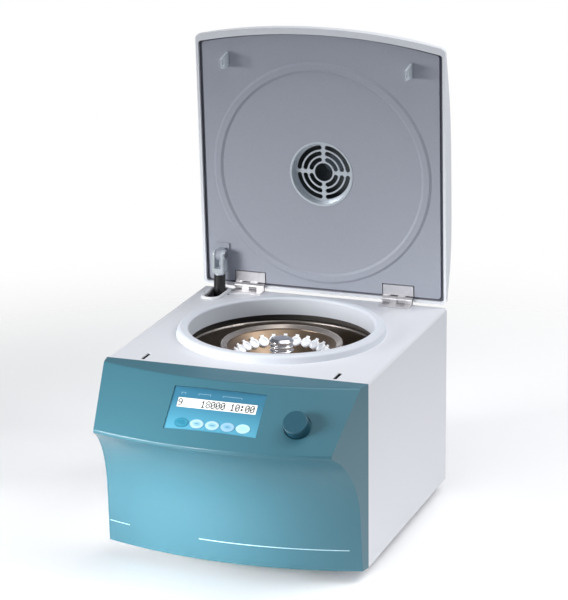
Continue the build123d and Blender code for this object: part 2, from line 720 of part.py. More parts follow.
def knob_encoder():
    body = Pos(0, 0, -ENCODER_DEPTH / 2) * Box(ENCODER_SIZE, ENCODER_SIZE, ENCODER_DEPTH)
    body -= Cylinder(KNOB_STEM_RADIUS + RUNNING_FIT, 3 * ENCODER_DEPTH)
    return on_face(KNOB_X, KNOB_DOWN, -KNOB_BOSS_DEPTH) * body


# Rotor chamber, guard and drive


def chamber_seal():
    wall = CHAMBER_OPENING_RADIUS - SEAT_GAP
    crest = TOP + SEAL_HEIGHT
    outline = Polyline(
        (wall, TOP), (wall, TOP - SEAL_SKIRT), (SEAL_INNER_RADIUS, TOP - SEAL_SKIRT),
        (SEAL_INNER_RADIUS, crest - 3.0),
    )
    outline += ThreePointArc(
        (SEAL_INNER_RADIUS, crest - 3.0), (SEAL_INNER_RADIUS + 1.0, crest - 0.8), (SEAL_INNER_RADIUS + 3.4, crest)
    )
    outline += Line((SEAL_INNER_RADIUS + 3.4, crest), (SEAL_SHOULDER_RADIUS - 2.0, crest))
    outline += ThreePointArc(
        (SEAL_SHOULDER_RADIUS - 2.0, crest), (SEAL_SHOULDER_RADIUS + 1.2, crest - 1.6),
        (SEAL_SHOULDER_RADIUS + 2.6, crest - 4.6),
    )
    outline += Polyline((SEAL_SHOULDER_RADIUS + 2.6, crest - 4.6), (SEAL_FLANGE_RADIUS, TOP), (wall, TOP))
    return revolve(Plane.XZ * make_face(outline), Axis.Z)


def rotor_chamber():
    inner_wall = BOWL_RADIUS
    outer_wall = BOWL_RADIUS + BOWL_SHEET
    roll = BOWL_RIM_ROLL
    corner = BOWL_CORNER
    floor = BOWL_FLOOR
    under = BOWL_FLOOR - BOWL_SHEET
    bend = math.sqrt(0.5)
    outline = Line((BOWL_NECK_RADIUS, floor), (inner_wall - corner, floor))
    outline += ThreePointArc(
        (inner_wall - corner, floor),
        (inner_wall - corner + corner * bend, floor + corner - corner * bend),
        (inner_wall, floor + corner),
    )
    outline += Line((inner_wall, floor + corner), (inner_wall, BOWL_RIM - roll))
    outline += ThreePointArc(
        (inner_wall, BOWL_RIM - roll), (inner_wall + roll - roll * bend, BOWL_RIM - roll + roll * bend),
        (inner_wall + roll, BOWL_RIM),
    )
    outline += Polyline(
        (inner_wall + roll, BOWL_RIM), (GUARD_RADIUS - 1, BOWL_RIM), (GUARD_RADIUS - 1, BOWL_RIM - BOWL_SHEET),
        (outer_wall + roll, BOWL_RIM - BOWL_SHEET), (outer_wall, BOWL_RIM - roll - BOWL_SHEET),
        (outer_wall, floor + corner),
    )
    outline += ThreePointArc(
        (outer_wall, floor + corner),
        (inner_wall - corner + (corner + BOWL_SHEET) * bend, floor + corner - (corner + BOWL_SHEET) * bend),
        (inner_wall - corner, under),
    )
    outline += Polyline((inner_wall - corner, under), (BOWL_NECK_RADIUS, under), (BOWL_NECK_RADIUS, floor))
    return revolve(Plane.XZ * make_face(outline), Axis.Z)


def insulation_ring():
    return tube(INSULATION_INNER_RADIUS, GUARD_RADIUS - 1, BOWL_RIM, UNDERSIDE)


def guard_ring():
    return tube(GUARD_INNER_RADIUS, GUARD_RADIUS, DECK_TOP, BOWL_RIM - BOWL_SHEET)


def motor_deck():
    deck = block(-DECK_HALF, DECK_HALF, -DECK_HALF, DECK_HALF, DECK_TOP - DECK_THICKNESS, DECK_TOP)
    deck = chamfer(deck.edges().filter_by(Axis.Z), DECK_CORNER)
    return deck - post(0, 0, DECK_TOP - 2 * DECK_THICKNESS, DECK_TOP + 1, DECK_HOLE_RADIUS)


def deck_posts():
    low = TRAY_FLOOR
    high = DECK_TOP - DECK_THICKNESS
    place = DECK_POST_PLACE
    return [post(x, y, low, high, DECK_POST_RADIUS) for x in (-place, place) for y in (-place, place)]


def motor_dampers():
    waist = DAMPER_RADIUS - 2.0
    profile = [
        (0, DECK_TOP), (DAMPER_RADIUS, DECK_TOP), (waist, DECK_TOP + DAMPER_HEIGHT / 2),
        (DAMPER_RADIUS, DECK_TOP + DAMPER_HEIGHT), (0, DECK_TOP + DAMPER_HEIGHT),
    ]
    damper = turned(profile)
    angles = [45 + 90 * index for index in range(4)]
    return [
        Pos(DAMPER_CIRCLE * math.cos(math.radians(a)), DAMPER_CIRCLE * math.sin(math.radians(a)), 0) * damper
        for a in angles
    ]


def motor_housing():
    flange_low = MOTOR_SEAT
    profile = [
        (SHAFT_RADIUS + RUNNING_FIT, MOTOR_BOTTOM), (MOTOR_RADIUS - 4, MOTOR_BOTTOM), (MOTOR_RADIUS, MOTOR_BOTTOM + 4),
        (MOTOR_RADIUS, flange_low), (MOTOR_FLANGE_RADIUS, flange_low),
        (MOTOR_FLANGE_RADIUS, flange_low + MOTOR_FLANGE), (MOTOR_RADIUS, flange_low + MOTOR_FLANGE),
        (MOTOR_RADIUS, MOTOR_TOP - 6), (MOTOR_RADIUS - 6, MOTOR_TOP), (MOTOR_NECK_RADIUS, MOTOR_TOP),
        (MOTOR_NECK_RADIUS, MOTOR_NECK_TOP), (SHAFT_RADIUS + RUNNING_FIT, MOTOR_NECK_TOP),
    ]
    body = turned(profile)
    for index in range(MOTOR_FINS):
        cut = block(
            MOTOR_RADIUS - MOTOR_FIN, MOTOR_RADIUS + 1, -MOTOR_FIN_GAP / 2, MOTOR_FIN_GAP / 2,
            flange_low + MOTOR_FLANGE + 5, MOTOR_TOP - 10,
        )
        body -= Rot(0, 0, 360 * index / MOTOR_FINS) * cut
    return body


def shaft_boot():
    under = BOWL_FLOOR - BOWL_SHEET
    lip = MOTOR_NECK_RADIUS + SHEET_FIT
    profile = [
        (lip, under - BOOT_THICKNESS), (BOOT_RADIUS, under - BOOT_THICKNESS), (BOOT_RADIUS, under),
        (BOWL_NECK_RADIUS - SEAT_GAP, under),
        (BOWL_NECK_RADIUS - SEAT_GAP, BOWL_FLOOR), (lip, BOWL_FLOOR + 2),
    ]
    return turned(profile)


def motor_shaft():
    return post(0, 0, SHAFT_BOTTOM, SHAFT_TOP, SHAFT_RADIUS)


# Rotor with its tubes


def cone_height(radius):
    return ROTOR_TOP - (CONE_OUTER_RADIUS - radius)


def tube_place(index):
    angle = 360 * index / TUBES
    return Rot(0, 0, angle) * Pos(TUBE_CIRCLE, 0, cone_height(TUBE_CIRCLE)) * Rot(0, -45, 0)


def rotor_body():
    bore = SHAFT_RADIUS + RUNNING_FIT
    well = cone_height(CONE_INNER_RADIUS)
    profile = [
        (bore, ROTOR_BOTTOM + 8), (22, ROTOR_BOTTOM + 8), (28, ROTOR_BOTTOM), (ROTOR_RADIUS - 10, ROTOR_BOTTOM),
        (ROTOR_RADIUS, ROTOR_BOTTOM + 8), (ROTOR_RADIUS, ROTOR_SHOULDER), (ROTOR_RIM_RADIUS + 1.5, ROTOR_TOP - 4),
        (ROTOR_RIM_RADIUS - 1.5, ROTOR_TOP - 2.5), (ROTOR_RIM_RADIUS - 1.5, ROTOR_TOP), (CONE_OUTER_RADIUS, ROTOR_TOP),
        (CONE_INNER_RADIUS, well), (HUB_RADIUS + 4, well), (HUB_RADIUS, HUB_TOP), (bore, HUB_TOP),
    ]
    body = turned(profile)
    hole_radius = TUBE_RADIUS + TUBE_FIT
    hole = Pos(0, 0, -TUBE_LENGTH / 2) * Cylinder(hole_radius, TUBE_LENGTH + 1)
    hole += Pos(0, 0, CAP_HEIGHT / 2) * Cylinder(CAP_RADIUS + TUBE_FIT, CAP_HEIGHT)
    for index in range(TUBES):
        body -= tube_place(index) * hole
    return body


def rotor_rim():
    low = ROTOR_TOP
    high = ROTOR_TOP + RIM_RING_HEIGHT
    profile = [
        (RIM_RING_INNER, low), (ROTOR_RIM_RADIUS, low), (ROTOR_RIM_RADIUS, high - 0.8),
        (ROTOR_RIM_RADIUS - 0.8, high), (ROTOR_RIM_RADIUS - 2.2, high), (RIM_RING_INNER, low + 1.2),
    ]
    return turned(profile)


def sample_tubes():
    lift = TUBE_FIT / 2
    profile = [
        (0, lift + CAP_HEIGHT), (CAP_RADIUS, lift + CAP_HEIGHT), (CAP_RADIUS, lift), (TUBE_RADIUS, lift),
        (TUBE_RADIUS, -TUBE_STRAIGHT), (TUBE_TIP_RADIUS, TUBE_TIP_ROOM - TUBE_LENGTH), (0, TUBE_TIP_ROOM - TUBE_LENGTH),
    ]
    vial = turned(profile)
    vial -= Pos(0, 0, lift + CAP_HEIGHT) * Cylinder(CAP_RADIUS - 2.2, 2.6)
    vial += block(CAP_RADIUS - 1.0, CAP_RADIUS + CAP_TAB, -CAP_TAB, CAP_TAB, lift + CAP_HEIGHT / 2, lift + CAP_HEIGHT)
    return [tube_place(index) * vial for index in range(TUBES)]


def rotor_nut():
    crest = NUT_TOP
    bore = SHAFT_RADIUS + RUNNING_FIT
    outline = [(bore, HUB_TOP), (NUT_RADIUS, HUB_TOP)]
    low = HUB_TOP + 3.0
    for index in range(NUT_GROOVES):
        base = low + index * NUT_GROOVE_PITCH
        outline += [
            (NUT_RADIUS, base), (NUT_RADIUS - NUT_GROOVE_DEPTH, base + 0.8),
            (NUT_RADIUS - NUT_GROOVE_DEPTH, base + 2.0), (NUT_RADIUS, base + 2.8),
        ]
    outline += [
        (NUT_RADIUS, crest - 3.5), (NUT_RADIUS - 1.2, crest - 1.4), (NUT_RADIUS - 4.0, crest - 0.2), (0, crest),
        (0, SHAFT_TOP + SEAT_GAP), (bore, SHAFT_TOP + SEAT_GAP),
    ]
    return turned(outline)


# Lid, drawn shut and then swung open


def lid_block(x0, x1, s0, s1, n0, n1):
    return block(x0, x1, HINGE_Y - s1, HINGE_Y - s0, HINGE_Z + n0, HINGE_Z + n1)


def lid_round(s, n0, n1, radius, x=0.0):
    return post(x, HINGE_Y - s, HINGE_Z + n0, HINGE_Z + n1, radius)


def swing_open(shape):
    return shape.rotate(Axis((0, HINGE_Y, HINGE_Z), (1, 0, 0)), -OPEN_ANGLE)


def dome(s, full, front, rear):
    """Height of the lid's skin: full in the middle, rounding down to both ends by (drop, power)."""
    if s < LID_MIDDLE_S:
        drop, power = rear
        run = (LID_MIDDLE_S - s) / (LID_MIDDLE_S - LID_REAR_S)
    else:
        drop, power = front
        run = (s - LID_MIDDLE_S) / (LID_FRONT_S + LID_BOW - LID_MIDDLE_S)
    return max(full - drop * run ** power, LID_LIP)


def lid_section(s, half, skin):
    edge = dome(s, LID_EDGE_HEIGHT, LID_EDGE_FRONT, LID_EDGE_REAR) - skin
    crown = dome(s, LID_CROWN_HEIGHT, LID_CROWN_FRONT, LID_CROWN_REAR) - skin
    base = LID_RIM_N
    outline = Polyline((-half, base + edge), (-half, base), (half, base), (half, base + edge))
    outline += ThreePointArc((half, base + edge), (0, base + crown), (-half, base + edge))
    face = make_face(outline)
    corners = face.vertices().group_by(Axis.Y)[-1]
    face = fillet(corners, min(LID_EDGE_RADIUS, 0.45 * edge))
    plane = Plane(origin=(0, HINGE_Y - s, HINGE_Z), x_dir=(1, 0, 0), z_dir=(0, -1, 0))
    return plane * face


def lid_loft(half, skin):
    rear_run = LID_MIDDLE_S - LID_REAR_S
    front_run = LID_FRONT_S + LID_BOW + 3 - LID_MIDDLE_S
    rear = [LID_MIDDLE_S - rear_run * share for share in (1, 0.91, 0.77, 0.54, 0.27)]
    front = [LID_MIDDLE_S + front_run * share for share in (0, 0.27, 0.52, 0.69, 0.81, 0.91, 1)]
    return loft([lid_section(s, half, skin) for s in rear + front])


def lid_plan(half, rear, front, corner, n0, n1):
    """The lid's outline seen from above, straight at the rear and bowed at the front."""
    back_y = HINGE_Y - rear
    front_y = HINGE_Y - front
    outline = Polyline((half, front_y), (half, back_y), (-half, back_y), (-half, front_y))
    outline += ThreePointArc((-half, front_y), (0, front_y - LID_BOW), (half, front_y))
    face = fillet(make_face(outline).vertices(), corner)
    return Pos(0, 0, HINGE_Z + n0) * extrude(face, n1 - n0, dir=(0, 0, 1))


def lid_outer():
    plan = lid_plan(LID_HALF + SHEET_FIT, LID_REAR_S, LID_FRONT_S, LID_CORNER, -5, LID_CEILING)
    return lid_loft(LID_HALF, 0) & plan


def lid_cavity():
    half = LID_HALF - LID_WALL
    front = LID_FRONT_S - LID_FRONT_RIM
    plan = lid_plan(half + SHEET_FIT, LID_REAR_S + LID_WALL, front, LINER_CORNER, -5, LID_CEILING)
    return lid_loft(half, LID_SKIN) & plan


def leaf_pocket(side, deep, n0, n1):
    """The space round one hinge leaf, between the lid's rear edge and its foot."""
    x0 = hinge_start(side) - LEAF_MARGIN
    x1 = x0 + HINGE_LENGTH + 2 * LEAF_MARGIN
    return lid_block(x0, x1, LID_REAR_S - 1, deep, n0, n1)


def lid_shell():
    outer = lid_outer()
    shell = outer - lid_cavity()
    bosses = []
    for x in (-LID_BOSS_X, LID_BOSS_X):
        for s in LID_BOSS_S:
            bosses.append(lid_round(s, PANEL_N + LINER_THICKNESS, LID_CEILING, LID_BOSS_RADIUS, x))
    for boss in bosses:
        shell += boss & outer
    for side in (-1, 1):
        shell -= leaf_pocket(side, LINER_REAR_S, -1, PANEL_N + LINER_THICKNESS)
    return shell - lid_round(ROTOR_S, LID_EDGE_HEIGHT, LID_CEILING, WINDOW_RADIUS + SHEET_FIT)


def liner_plan(inset, n0, n1):
    front = LID_FRONT_S - LID_FRONT_RIM - LINER_FRONT_GAP
    return lid_plan(LINER_HALF - inset, LINER_REAR_S + inset, front - inset, LINER_CORNER, n0, n1)


def lid_liner():
    back = PANEL_N + LINER_THICKNESS
    sheet = liner_plan(0, PANEL_N, back)
    bead = [
        (BEAD_INNER, PANEL_N + 1), (BEAD_INNER, PANEL_N), (BEAD_INNER + BEAD_SLOPE, PANEL_N - BEAD_HEIGHT),
        (BEAD_OUTER - BEAD_SLOPE, PANEL_N - BEAD_HEIGHT), (BEAD_OUTER, PANEL_N), (BEAD_OUTER, PANEL_N + 1),
    ]
    ring = Pos(0, HINGE_Y - ROTOR_S, HINGE_Z) * turned(bead)
    sheet += ring
    sheet -= lid_round(ROTOR_S, -5, 20, GRILLE_RADIUS + DUCT_FIT)
    for side in (-1, 1):
        half = STRIKER_SHEET / 2 + SEAT_GAP
        x = side * STRIKER_X
        sheet -= lid_block(
            x - half, x + half, STRIKER_S - STRIKER_BASE / 2 - SEAT_GAP, STRIKER_S + STRIKER_BASE / 2 + SEAT_GAP,
            -5, 20,
        )
        sheet -= leaf_pocket(side, LID_LEAF + LEAF_MARGIN, -5, 20)
    return sheet


def edge_strip():
    """The frame behind the inner panel that closes the gap round it and carries the hinge leaves."""
    low = PANEL_N + LINER_THICKNESS
    high = low + STRIP_THICKNESS
    band = lid_cavity() & lid_block(-WIDTH, WIDTH, -10, 400, low, high)
    band -= liner_plan(STRIP_LAP, low - 1, high + 1)
    for side in (-1, 1):
        x0 = hinge_start(side) - LEAF_MARGIN - STRIP_LAP
        x1 = x0 + HINGE_LENGTH + 2 * (LEAF_MARGIN + STRIP_LAP)
        band += lid_block(x0, x1, LINER_REAR_S, LID_LEAF + LEAF_MARGIN + STRIP_LAP, low, high)
    return band


def vent_grille():
    lip_n = PANEL_N - 0.6
    floor_low = PANEL_N + GRILLE_RECESS
    floor_high = floor_low + GRILLE_SHEET
    inner = GRILLE_RADIUS - GRILLE_SHEET
    profile = [
        (0, floor_low), (inner, floor_low), (inner, lip_n + 0.3), (inner + 0.4, lip_n),
        (GRILLE_RADIUS + GRILLE_LIP, lip_n), (GRILLE_RADIUS + GRILLE_LIP, PANEL_N), (GRILLE_RADIUS, PANEL_N),
        (GRILLE_RADIUS, floor_high), (0, floor_high),
    ]
    dish = turned(profile)
    dish -= post(0, 0, floor_low - 1, floor_high + 1, GRILLE_EYE_RADIUS)
    for row in range(GRILLE_ROWS):
        middle = GRILLE_EYE_RADIUS + row * (GRILLE_RING + GRILLE_SLOT) + GRILLE_RING + GRILLE_SLOT / 2
        width = GRILLE_SLOT
        half_gap = math.degrees((GRILLE_SPOKE + width) / 2 / middle)
        for quarter in range(4):
            arc = CenterArc((0, 0), middle, 90 * quarter + half_gap, 90 - 2 * half_gap)
            slot = Pos(0, 0, floor_low - 1) * extrude(SlotArc(arc, width), GRILLE_SHEET + 2, dir=(0, 0, 1))
            dish -= slot
    return Pos(0, HINGE_Y - ROTOR_S, HINGE_Z) * dish


def grille_duct():
    inner = GRILLE_RADIUS + DUCT_FIT
    low = PANEL_N + LINER_THICKNESS
    profile = [
        (inner, low), (inner + DUCT_WALL, low), (inner + DUCT_WALL, DUCT_TOP_N), (PORT_RADIUS, DUCT_TOP_N),
        (PORT_RADIUS, DUCT_TOP_N - DUCT_WALL), (inner, DUCT_TOP_N - DUCT_WALL),
    ]
    return Pos(0, HINGE_Y - ROTOR_S, HINGE_Z) * turned(profile)


def view_window():
    crest = LID_RIM_N + LID_CROWN_HEIGHT - WINDOW_SUNK
    ledge = LID_RIM_N + LID_CROWN_HEIGHT - LID_SKIN - SEAT_GAP - WINDOW_SUNK
    flange = WINDOW_RADIUS + WINDOW_LAP
    profile = [
        (0, DUCT_TOP_N), (flange, DUCT_TOP_N), (flange, ledge), (WINDOW_RADIUS, ledge),
        (WINDOW_RADIUS, crest - 0.5), (WINDOW_RADIUS - 0.8, crest), (0, crest),
    ]
    return Pos(0, HINGE_Y - ROTOR_S, HINGE_Z) * turned(profile)


def striker(side):
    base = PANEL_N + LINER_THICKNESS
    tip = PANEL_N - STRIKER_LENGTH
    half_base = STRIKER_BASE / 2
    half_tip = STRIKER_TIP / 2
    outline = Polyline(
        (HINGE_Y - STRIKER_S - half_base, HINGE_Z + base), (HINGE_Y - STRIKER_S + half_base, HINGE_Z + base),
        (HINGE_Y - STRIKER_S + half_base, HINGE_Z + PANEL_N - 5), (HINGE_Y - STRIKER_S + half_tip, HINGE_Z + tip),
        (HINGE_Y - STRIKER_S - half_tip, HINGE_Z + tip), (HINGE_Y - STRIKER_S - half_base, HINGE_Z + PANEL_N - 5),
        close=True,
    )
    plate = extrude(Plane.YZ * make_face(outline), STRIKER_SHEET / 2, both=True)
    window_s = STRIKER_WINDOW_LONG / 2
    window_n = STRIKER_WINDOW_TALL / 2
    plate -= lid_block(
        -5, 5, STRIKER_S - window_s, STRIKER_S + window_s, STRIKER_WINDOW_N - window_n, STRIKER_WINDOW_N + window_n
    )
    flange = lid_block(
        -STRIKER_FLANGE / 2, STRIKER_FLANGE / 2, STRIKER_S - half_base, STRIKER_S + half_base,
        base, base + STRIKER_SHEET,
    )
    return Pos(side * STRIKER_X, 0, 0) * (plate + flange)


# Hinges


def hinge_start(side):
    return HINGE_INNER_X if side > 0 else -HINGE_INNER_X - HINGE_LENGTH


def knuckle_spans(side, first):
    """The stretches of hinge axis that one leaf's knuckles take up, from left to right."""
    pitch = HINGE_LENGTH / KNUCKLES
    edge = KNUCKLE_GAP / 2
    starts = [hinge_start(side) + index * pitch for index in range(first, KNUCKLES, 2)]
    return [(start + edge, start + pitch - edge) for start in starts]


def leaf_span(side):
    edge = KNUCKLE_GAP / 2
    return hinge_start(side) + edge, hinge_start(side) + HINGE_LENGTH - edge


def housing_hinge(side):
    x0, x1 = leaf_span(side)
    back = REAR - 0.5
    leaf = block(x0, x1, HINGE_Y - HOUSING_LEAF, back, TOP, TOP + LEAF_THICKNESS)
    for a, b in knuckle_spans(side, 1):
        leaf += block(a, b, HINGE_Y - KNUCKLE_RADIUS, back, TOP + LEAF_THICKNESS, HINGE_Z)
        leaf += cross_pin(a, b, HINGE_Y, HINGE_Z, KNUCKLE_RADIUS)
    return leaf - cross_pin(x0 - 1, x1 + 1, HINGE_Y, HINGE_Z, HINGE_PIN_RADIUS + RUNNING_FIT)


def lid_hinge(side):
    x0, x1 = leaf_span(side)
    low = PANEL_N - LEAF_PROUD
    high = PANEL_N + LINER_THICKNESS
    leaf = lid_block(x0, x1, LEAF_CLEARANCE, LID_LEAF, low, high)
    for a, b in knuckle_spans(side, 0):
        leaf += lid_block(a, b, 0, LEAF_CLEARANCE, 1, high - SEAT_GAP)
        leaf += cross_pin(a, b, HINGE_Y, HINGE_Z, KNUCKLE_RADIUS)
    return leaf - cross_pin(x0 - 1, x1 + 1, HINGE_Y, HINGE_Z, HINGE_PIN_RADIUS + RUNNING_FIT)


def hinge_pins():
    pins = []
    for side in (-1, 1):
        x0, x1 = leaf_span(side)
        pins.append(cross_pin(x0, x1, HINGE_Y, HINGE_Z, HINGE_PIN_RADIUS))
    return pins


# Latches under the top plate


def lock_middle():
    return HINGE_Y - STRIKER_S, HINGE_Z + STRIKER_WINDOW_N


def lock_housing(side):
    y, z = lock_middle()
    near = STRIKER_X + SLOT_WIDTH / 2 + 0.5
    far = near + LOCK_WIDTH
    body = block(near, far, y - LOCK_LENGTH / 2, y + LOCK_LENGTH / 2, UNDERSIDE - LOCK_HEIGHT, UNDERSIDE)
    body -= cross_pin(near - 1, near + BOLT_LENGTH + 2, y, z, BOLT_RADIUS + RUNNING_FIT)
    return body if side > 0 else mirror(body, Plane.YZ)


def lock_bolt(side):
    y, z = lock_middle()
    near = STRIKER_X + SLOT_WIDTH / 2 + 0.8
    bolt = cross_pin(near, near + BOLT_LENGTH, y, z, BOLT_RADIUS)
    return bolt if side > 0 else mirror(bolt, Plane.YZ)


# Gas strut


def open_place(s, n):
    """Where a point of the lid stands when the lid is open."""
    c = math.cos(math.radians(OPEN_ANGLE))
    d = math.sin(math.radians(OPEN_ANGLE))
    return HINGE_Y - s * c + n * d, HINGE_Z + s * d + n * c


def strut_frame():
    """Local frame of the strut: origin at its upper pin, +Z along it, upwards."""
    y, z = open_place(STRUT_S, STRUT_N)
    lean = math.degrees(math.atan2(y - STRUT_FOOT_Y, z - STRUT_FOOT_Z))
    return Pos(STRUT_X, y, z) * Rot(-lean, 0, 0)


def strut_length():
    y, z = open_place(STRUT_S, STRUT_N)
    return math.hypot(y - STRUT_FOOT_Y, z - STRUT_FOOT_Z)


def strut_lug():
    y = HINGE_Y - STRUT_S
    z = HINGE_Z + STRUT_N
    half = LUG_THICKNESS / 2
    ear = cross_pin(STRUT_X - half, STRUT_X + half, y, z, LUG_RADIUS)
    ear += block(STRUT_X - half, STRUT_X + half, y - LUG_RADIUS, y + LUG_RADIUS, z, HINGE_Z + PANEL_N)
    base_low = PANEL_N - LEAF_THICKNESS
    ear += lid_block(
        STRUT_X - LUG_PLATE_X, STRUT_X + LUG_PLATE_X, STRUT_S - LUG_PLATE_S, STRUT_S + LUG_PLATE_S, base_low, PANEL_N
    )
    return ear - cross_pin(STRUT_X - half - 1, STRUT_X + half + 1, y, z, CLEVIS_PIN_RADIUS + RUNNING_FIT)


def strut_clevis():
    half = CLEVIS_WIDTH / 2
    body = block(-half, half, -half, half, -CLEVIS_LENGTH + 3, CLEVIS_HEAD)
    body = fillet(body.edges().filter_by(Axis.X).group_by(Axis.Z)[-1], 5.5)
    body = chamfer(body.edges().filter_by(Axis.Y).group_by(Axis.Z)[-1], 1.2)
    body += Pos(0, 0, -CLEVIS_LENGTH + 1.5) * Cylinder(6.5, 3)
    gap = CLEVIS_GAP / 2
    body -= block(-gap, gap, -half - 1, half + 1, -CLEVIS_SLOT, CLEVIS_HEAD + 1)
    body -= cross_pin(-half - 1, half + 1, 0, 0, CLEVIS_PIN_RADIUS + 0.02)
    return strut_frame() * body


def clevis_pin():
    half = CLEVIS_WIDTH / 2
    pin = cross_pin(-half - CLEVIS_PIN_HEAD, half, 0, 0, CLEVIS_PIN_RADIUS)
    pin += cross_pin(half, half + CLEVIS_PIN_HEAD, 0, 0, CLEVIS_PIN_RADIUS + CLEVIS_PIN_HEAD_RIM)
    return strut_frame() * pin


def strut_cylinder():
    top = -CLEVIS_LENGTH
    body = Pos(0, 0, top - CYLINDER_LENGTH / 2) * Cylinder(CYLINDER_RADIUS, CYLINDER_LENGTH)
    body = chamfer(body.edges().filter_by(GeomType.CIRCLE), 0.8)
    bore_end = top - CYLINDER_LENGTH + ROD_BORE
    bore_start = top - CYLINDER_LENGTH - 1
    body -= post(0, 0, bore_start, bore_end, ROD_RADIUS + RUNNING_FIT)
    return strut_frame() * body


def strut_rod():
    foot = -strut_length()
    top = -CLEVIS_LENGTH - CYLINDER_LENGTH + ROD_ENGAGED
    rod = post(0, 0, foot, top, ROD_RADIUS)
    half = ROD_EYE_THICKNESS / 2
    rod += cross_pin(-half, half, 0, foot, ROD_EYE_RADIUS)
    rod -= cross_pin(-half - 1, half + 1, 0, foot, CLEVIS_PIN_RADIUS + RUNNING_FIT)
    return strut_frame() * rod


def strut_bracket():
    """The floor bracket whose two ears guide the strut's lower eye."""
    y = STRUT_FOOT_Y
    z = STRUT_FOOT_Z
    inner = ROD_EYE_THICKNESS / 2 + BRACKET_PLAY
    outer = inner + BRACKET_EAR
    half = BRACKET_WIDTH / 2
    back = min(y + half, REAR - SHEET - TRAY_THICKNESS - SEAT_GAP)
    reach = outer + BRACKET_FLANGE
    base = block(STRUT_X - reach, STRUT_X + reach, y - half, back, TRAY_FLOOR, TRAY_FLOOR + BRACKET_EAR)
    for side in (-1, 1):
        x0 = STRUT_X + min(side * inner, side * outer)
        base += block(x0, x0 + BRACKET_EAR, y - half, back, TRAY_FLOOR, z)
        ear = cross_pin(x0, x0 + BRACKET_EAR, y, z, half)
        base += ear & block(x0, x0 + BRACKET_EAR, y - half, back, z - 1, z + half)
    return base


# Rear connections


def mains_inlet():
    half = INLET_WIDTH / 2
    rise = INLET_HEIGHT / 2
    body = block(INLET_X - half, INLET_X + half, REAR - INLET_DEPTH, REAR, INLET_Z - rise, INLET_Z + rise)
    margin = INLET_MARGIN
    flange = block(
        INLET_X - half - margin, INLET_X + half + margin, REAR, REAR + INLET_FLANGE,
        INLET_Z - rise - margin / 2, INLET_Z + rise + margin / 2,
    )
    socket_x = INLET_X - half + 15
    well = block(socket_x - 12.2, socket_x + 12.2, REAR - 17, REAR + 5, INLET_Z - 8.2, INLET_Z + 8.2)
    well = chamfer(well.edges().filter_by(Axis.Y).group_by(Axis.Z)[-1], 4.0)
    body = body + flange - well
    for dx, dz in ((-7, -2), (0, 2.5), (7, -2)):
        x = socket_x + dx
        z = INLET_Z + dz
        body += block(x - 1, x + 1, REAR - 18, REAR - 2, z - 2.2, z + 2.2)
    fuse_x = INLET_X + half - 9
    body -= block(fuse_x - 6.5, fuse_x + 6.5, REAR + 1.5, REAR + 5, INLET_Z - 9, INLET_Z + 9)
    return body


def switch_frame():
    inner_x = ROCKER_WIDTH / 2 + SEAT_GAP
    inner_z = ROCKER_HEIGHT / 2 + SEAT_GAP
    outer_x = ROCKER_WIDTH / 2 + ROCKER_FRAME
    outer_z = ROCKER_HEIGHT / 2 + ROCKER_FRAME
    flange = block(ROCKER_X - outer_x, ROCKER_X + outer_x, REAR, REAR + 2, ROCKER_Z - outer_z, ROCKER_Z + outer_z)
    neck = 1.0
    body = block(
        ROCKER_X - outer_x + neck, ROCKER_X + outer_x - neck, REAR - ROCKER_DEPTH - 2, REAR,
        ROCKER_Z - outer_z + neck, ROCKER_Z + outer_z - neck,
    )
    hollow = block(
        ROCKER_X - inner_x, ROCKER_X + inner_x, REAR - ROCKER_DEPTH, REAR + 3, ROCKER_Z - inner_z, ROCKER_Z + inner_z
    )
    return flange + body - hollow


def rocker_axis():
    return REAR - 4.0, ROCKER_Z


def switch_rocker():
    """A rocker resting in its off position, with its upper half pressed in."""
    y, z = rocker_axis()
    half = ROCKER_WIDTH / 2
    rise = ROCKER_HEIGHT / 2
    reach = REAR + 2.0 - y
    crown = reach + 1.0
    outline = Polyline(
        (y - 3, z - 6), (y + reach - 1.5, z - rise + 0.9), (y + crown, z - rise + 1.4), (y + reach - 0.6, z),
        (y + crown, z + rise - 1.4), (y + reach - 1.5, z + rise - 0.9), (y - 3, z + 6), close=True,
    )
    body = Pos(ROCKER_X, 0, 0) * extrude(Plane.YZ * make_face(outline), half, both=True)
    trunnion = cross_pin(ROCKER_X - half - SEAT_GAP + 0.05, ROCKER_X + half + SEAT_GAP - 0.05, y, z, 2.0)
    return (body + trunnion).rotate(Axis((0, y, z), (1, 0, 0)), -ROCKER_TILT)


def power_board():
    """A board with a transformer, a finned heat sink, two capacitors and a relay."""
    low = TRAY_FLOOR + POWER_BOARD_LIFT
    top = low + BOARD_THICKNESS
    half = POWER_BOARD_LENGTH / 2
    back = REAR - POWER_BOARD_FROM_REAR
    front = back - POWER_BOARD_WIDTH
    board = block(-half, half, front, back, low, top)
    for x in (-half + POWER_BOARD_INSET, half - POWER_BOARD_INSET):
        for y in (front + POWER_BOARD_INSET, back - POWER_BOARD_INSET):
            board += post(x, y, TRAY_FLOOR, low, POWER_BOARD_SPACER)
    transformer = block(0, 42, 0, 28, 0, 28)
    sink = block(0, 44, 0, 8, 0, 34)
    for index in range(6):
        sink += block(2 + 7 * index, 4.2 + 7 * index, 8, 24, 0, 34)
    relay = block(0, 38, 0, 22, 0, 18)
    board += Pos(-half + 10, front + 10, top) * transformer
    board += Pos(half - 54, front + 8, top) * sink
    board += Pos(half - 52, back - 30, top) * relay
    for x in (-half + 18, -half + 42):
        board += post(x, back - 18, top, top + 24, 10)
    return board


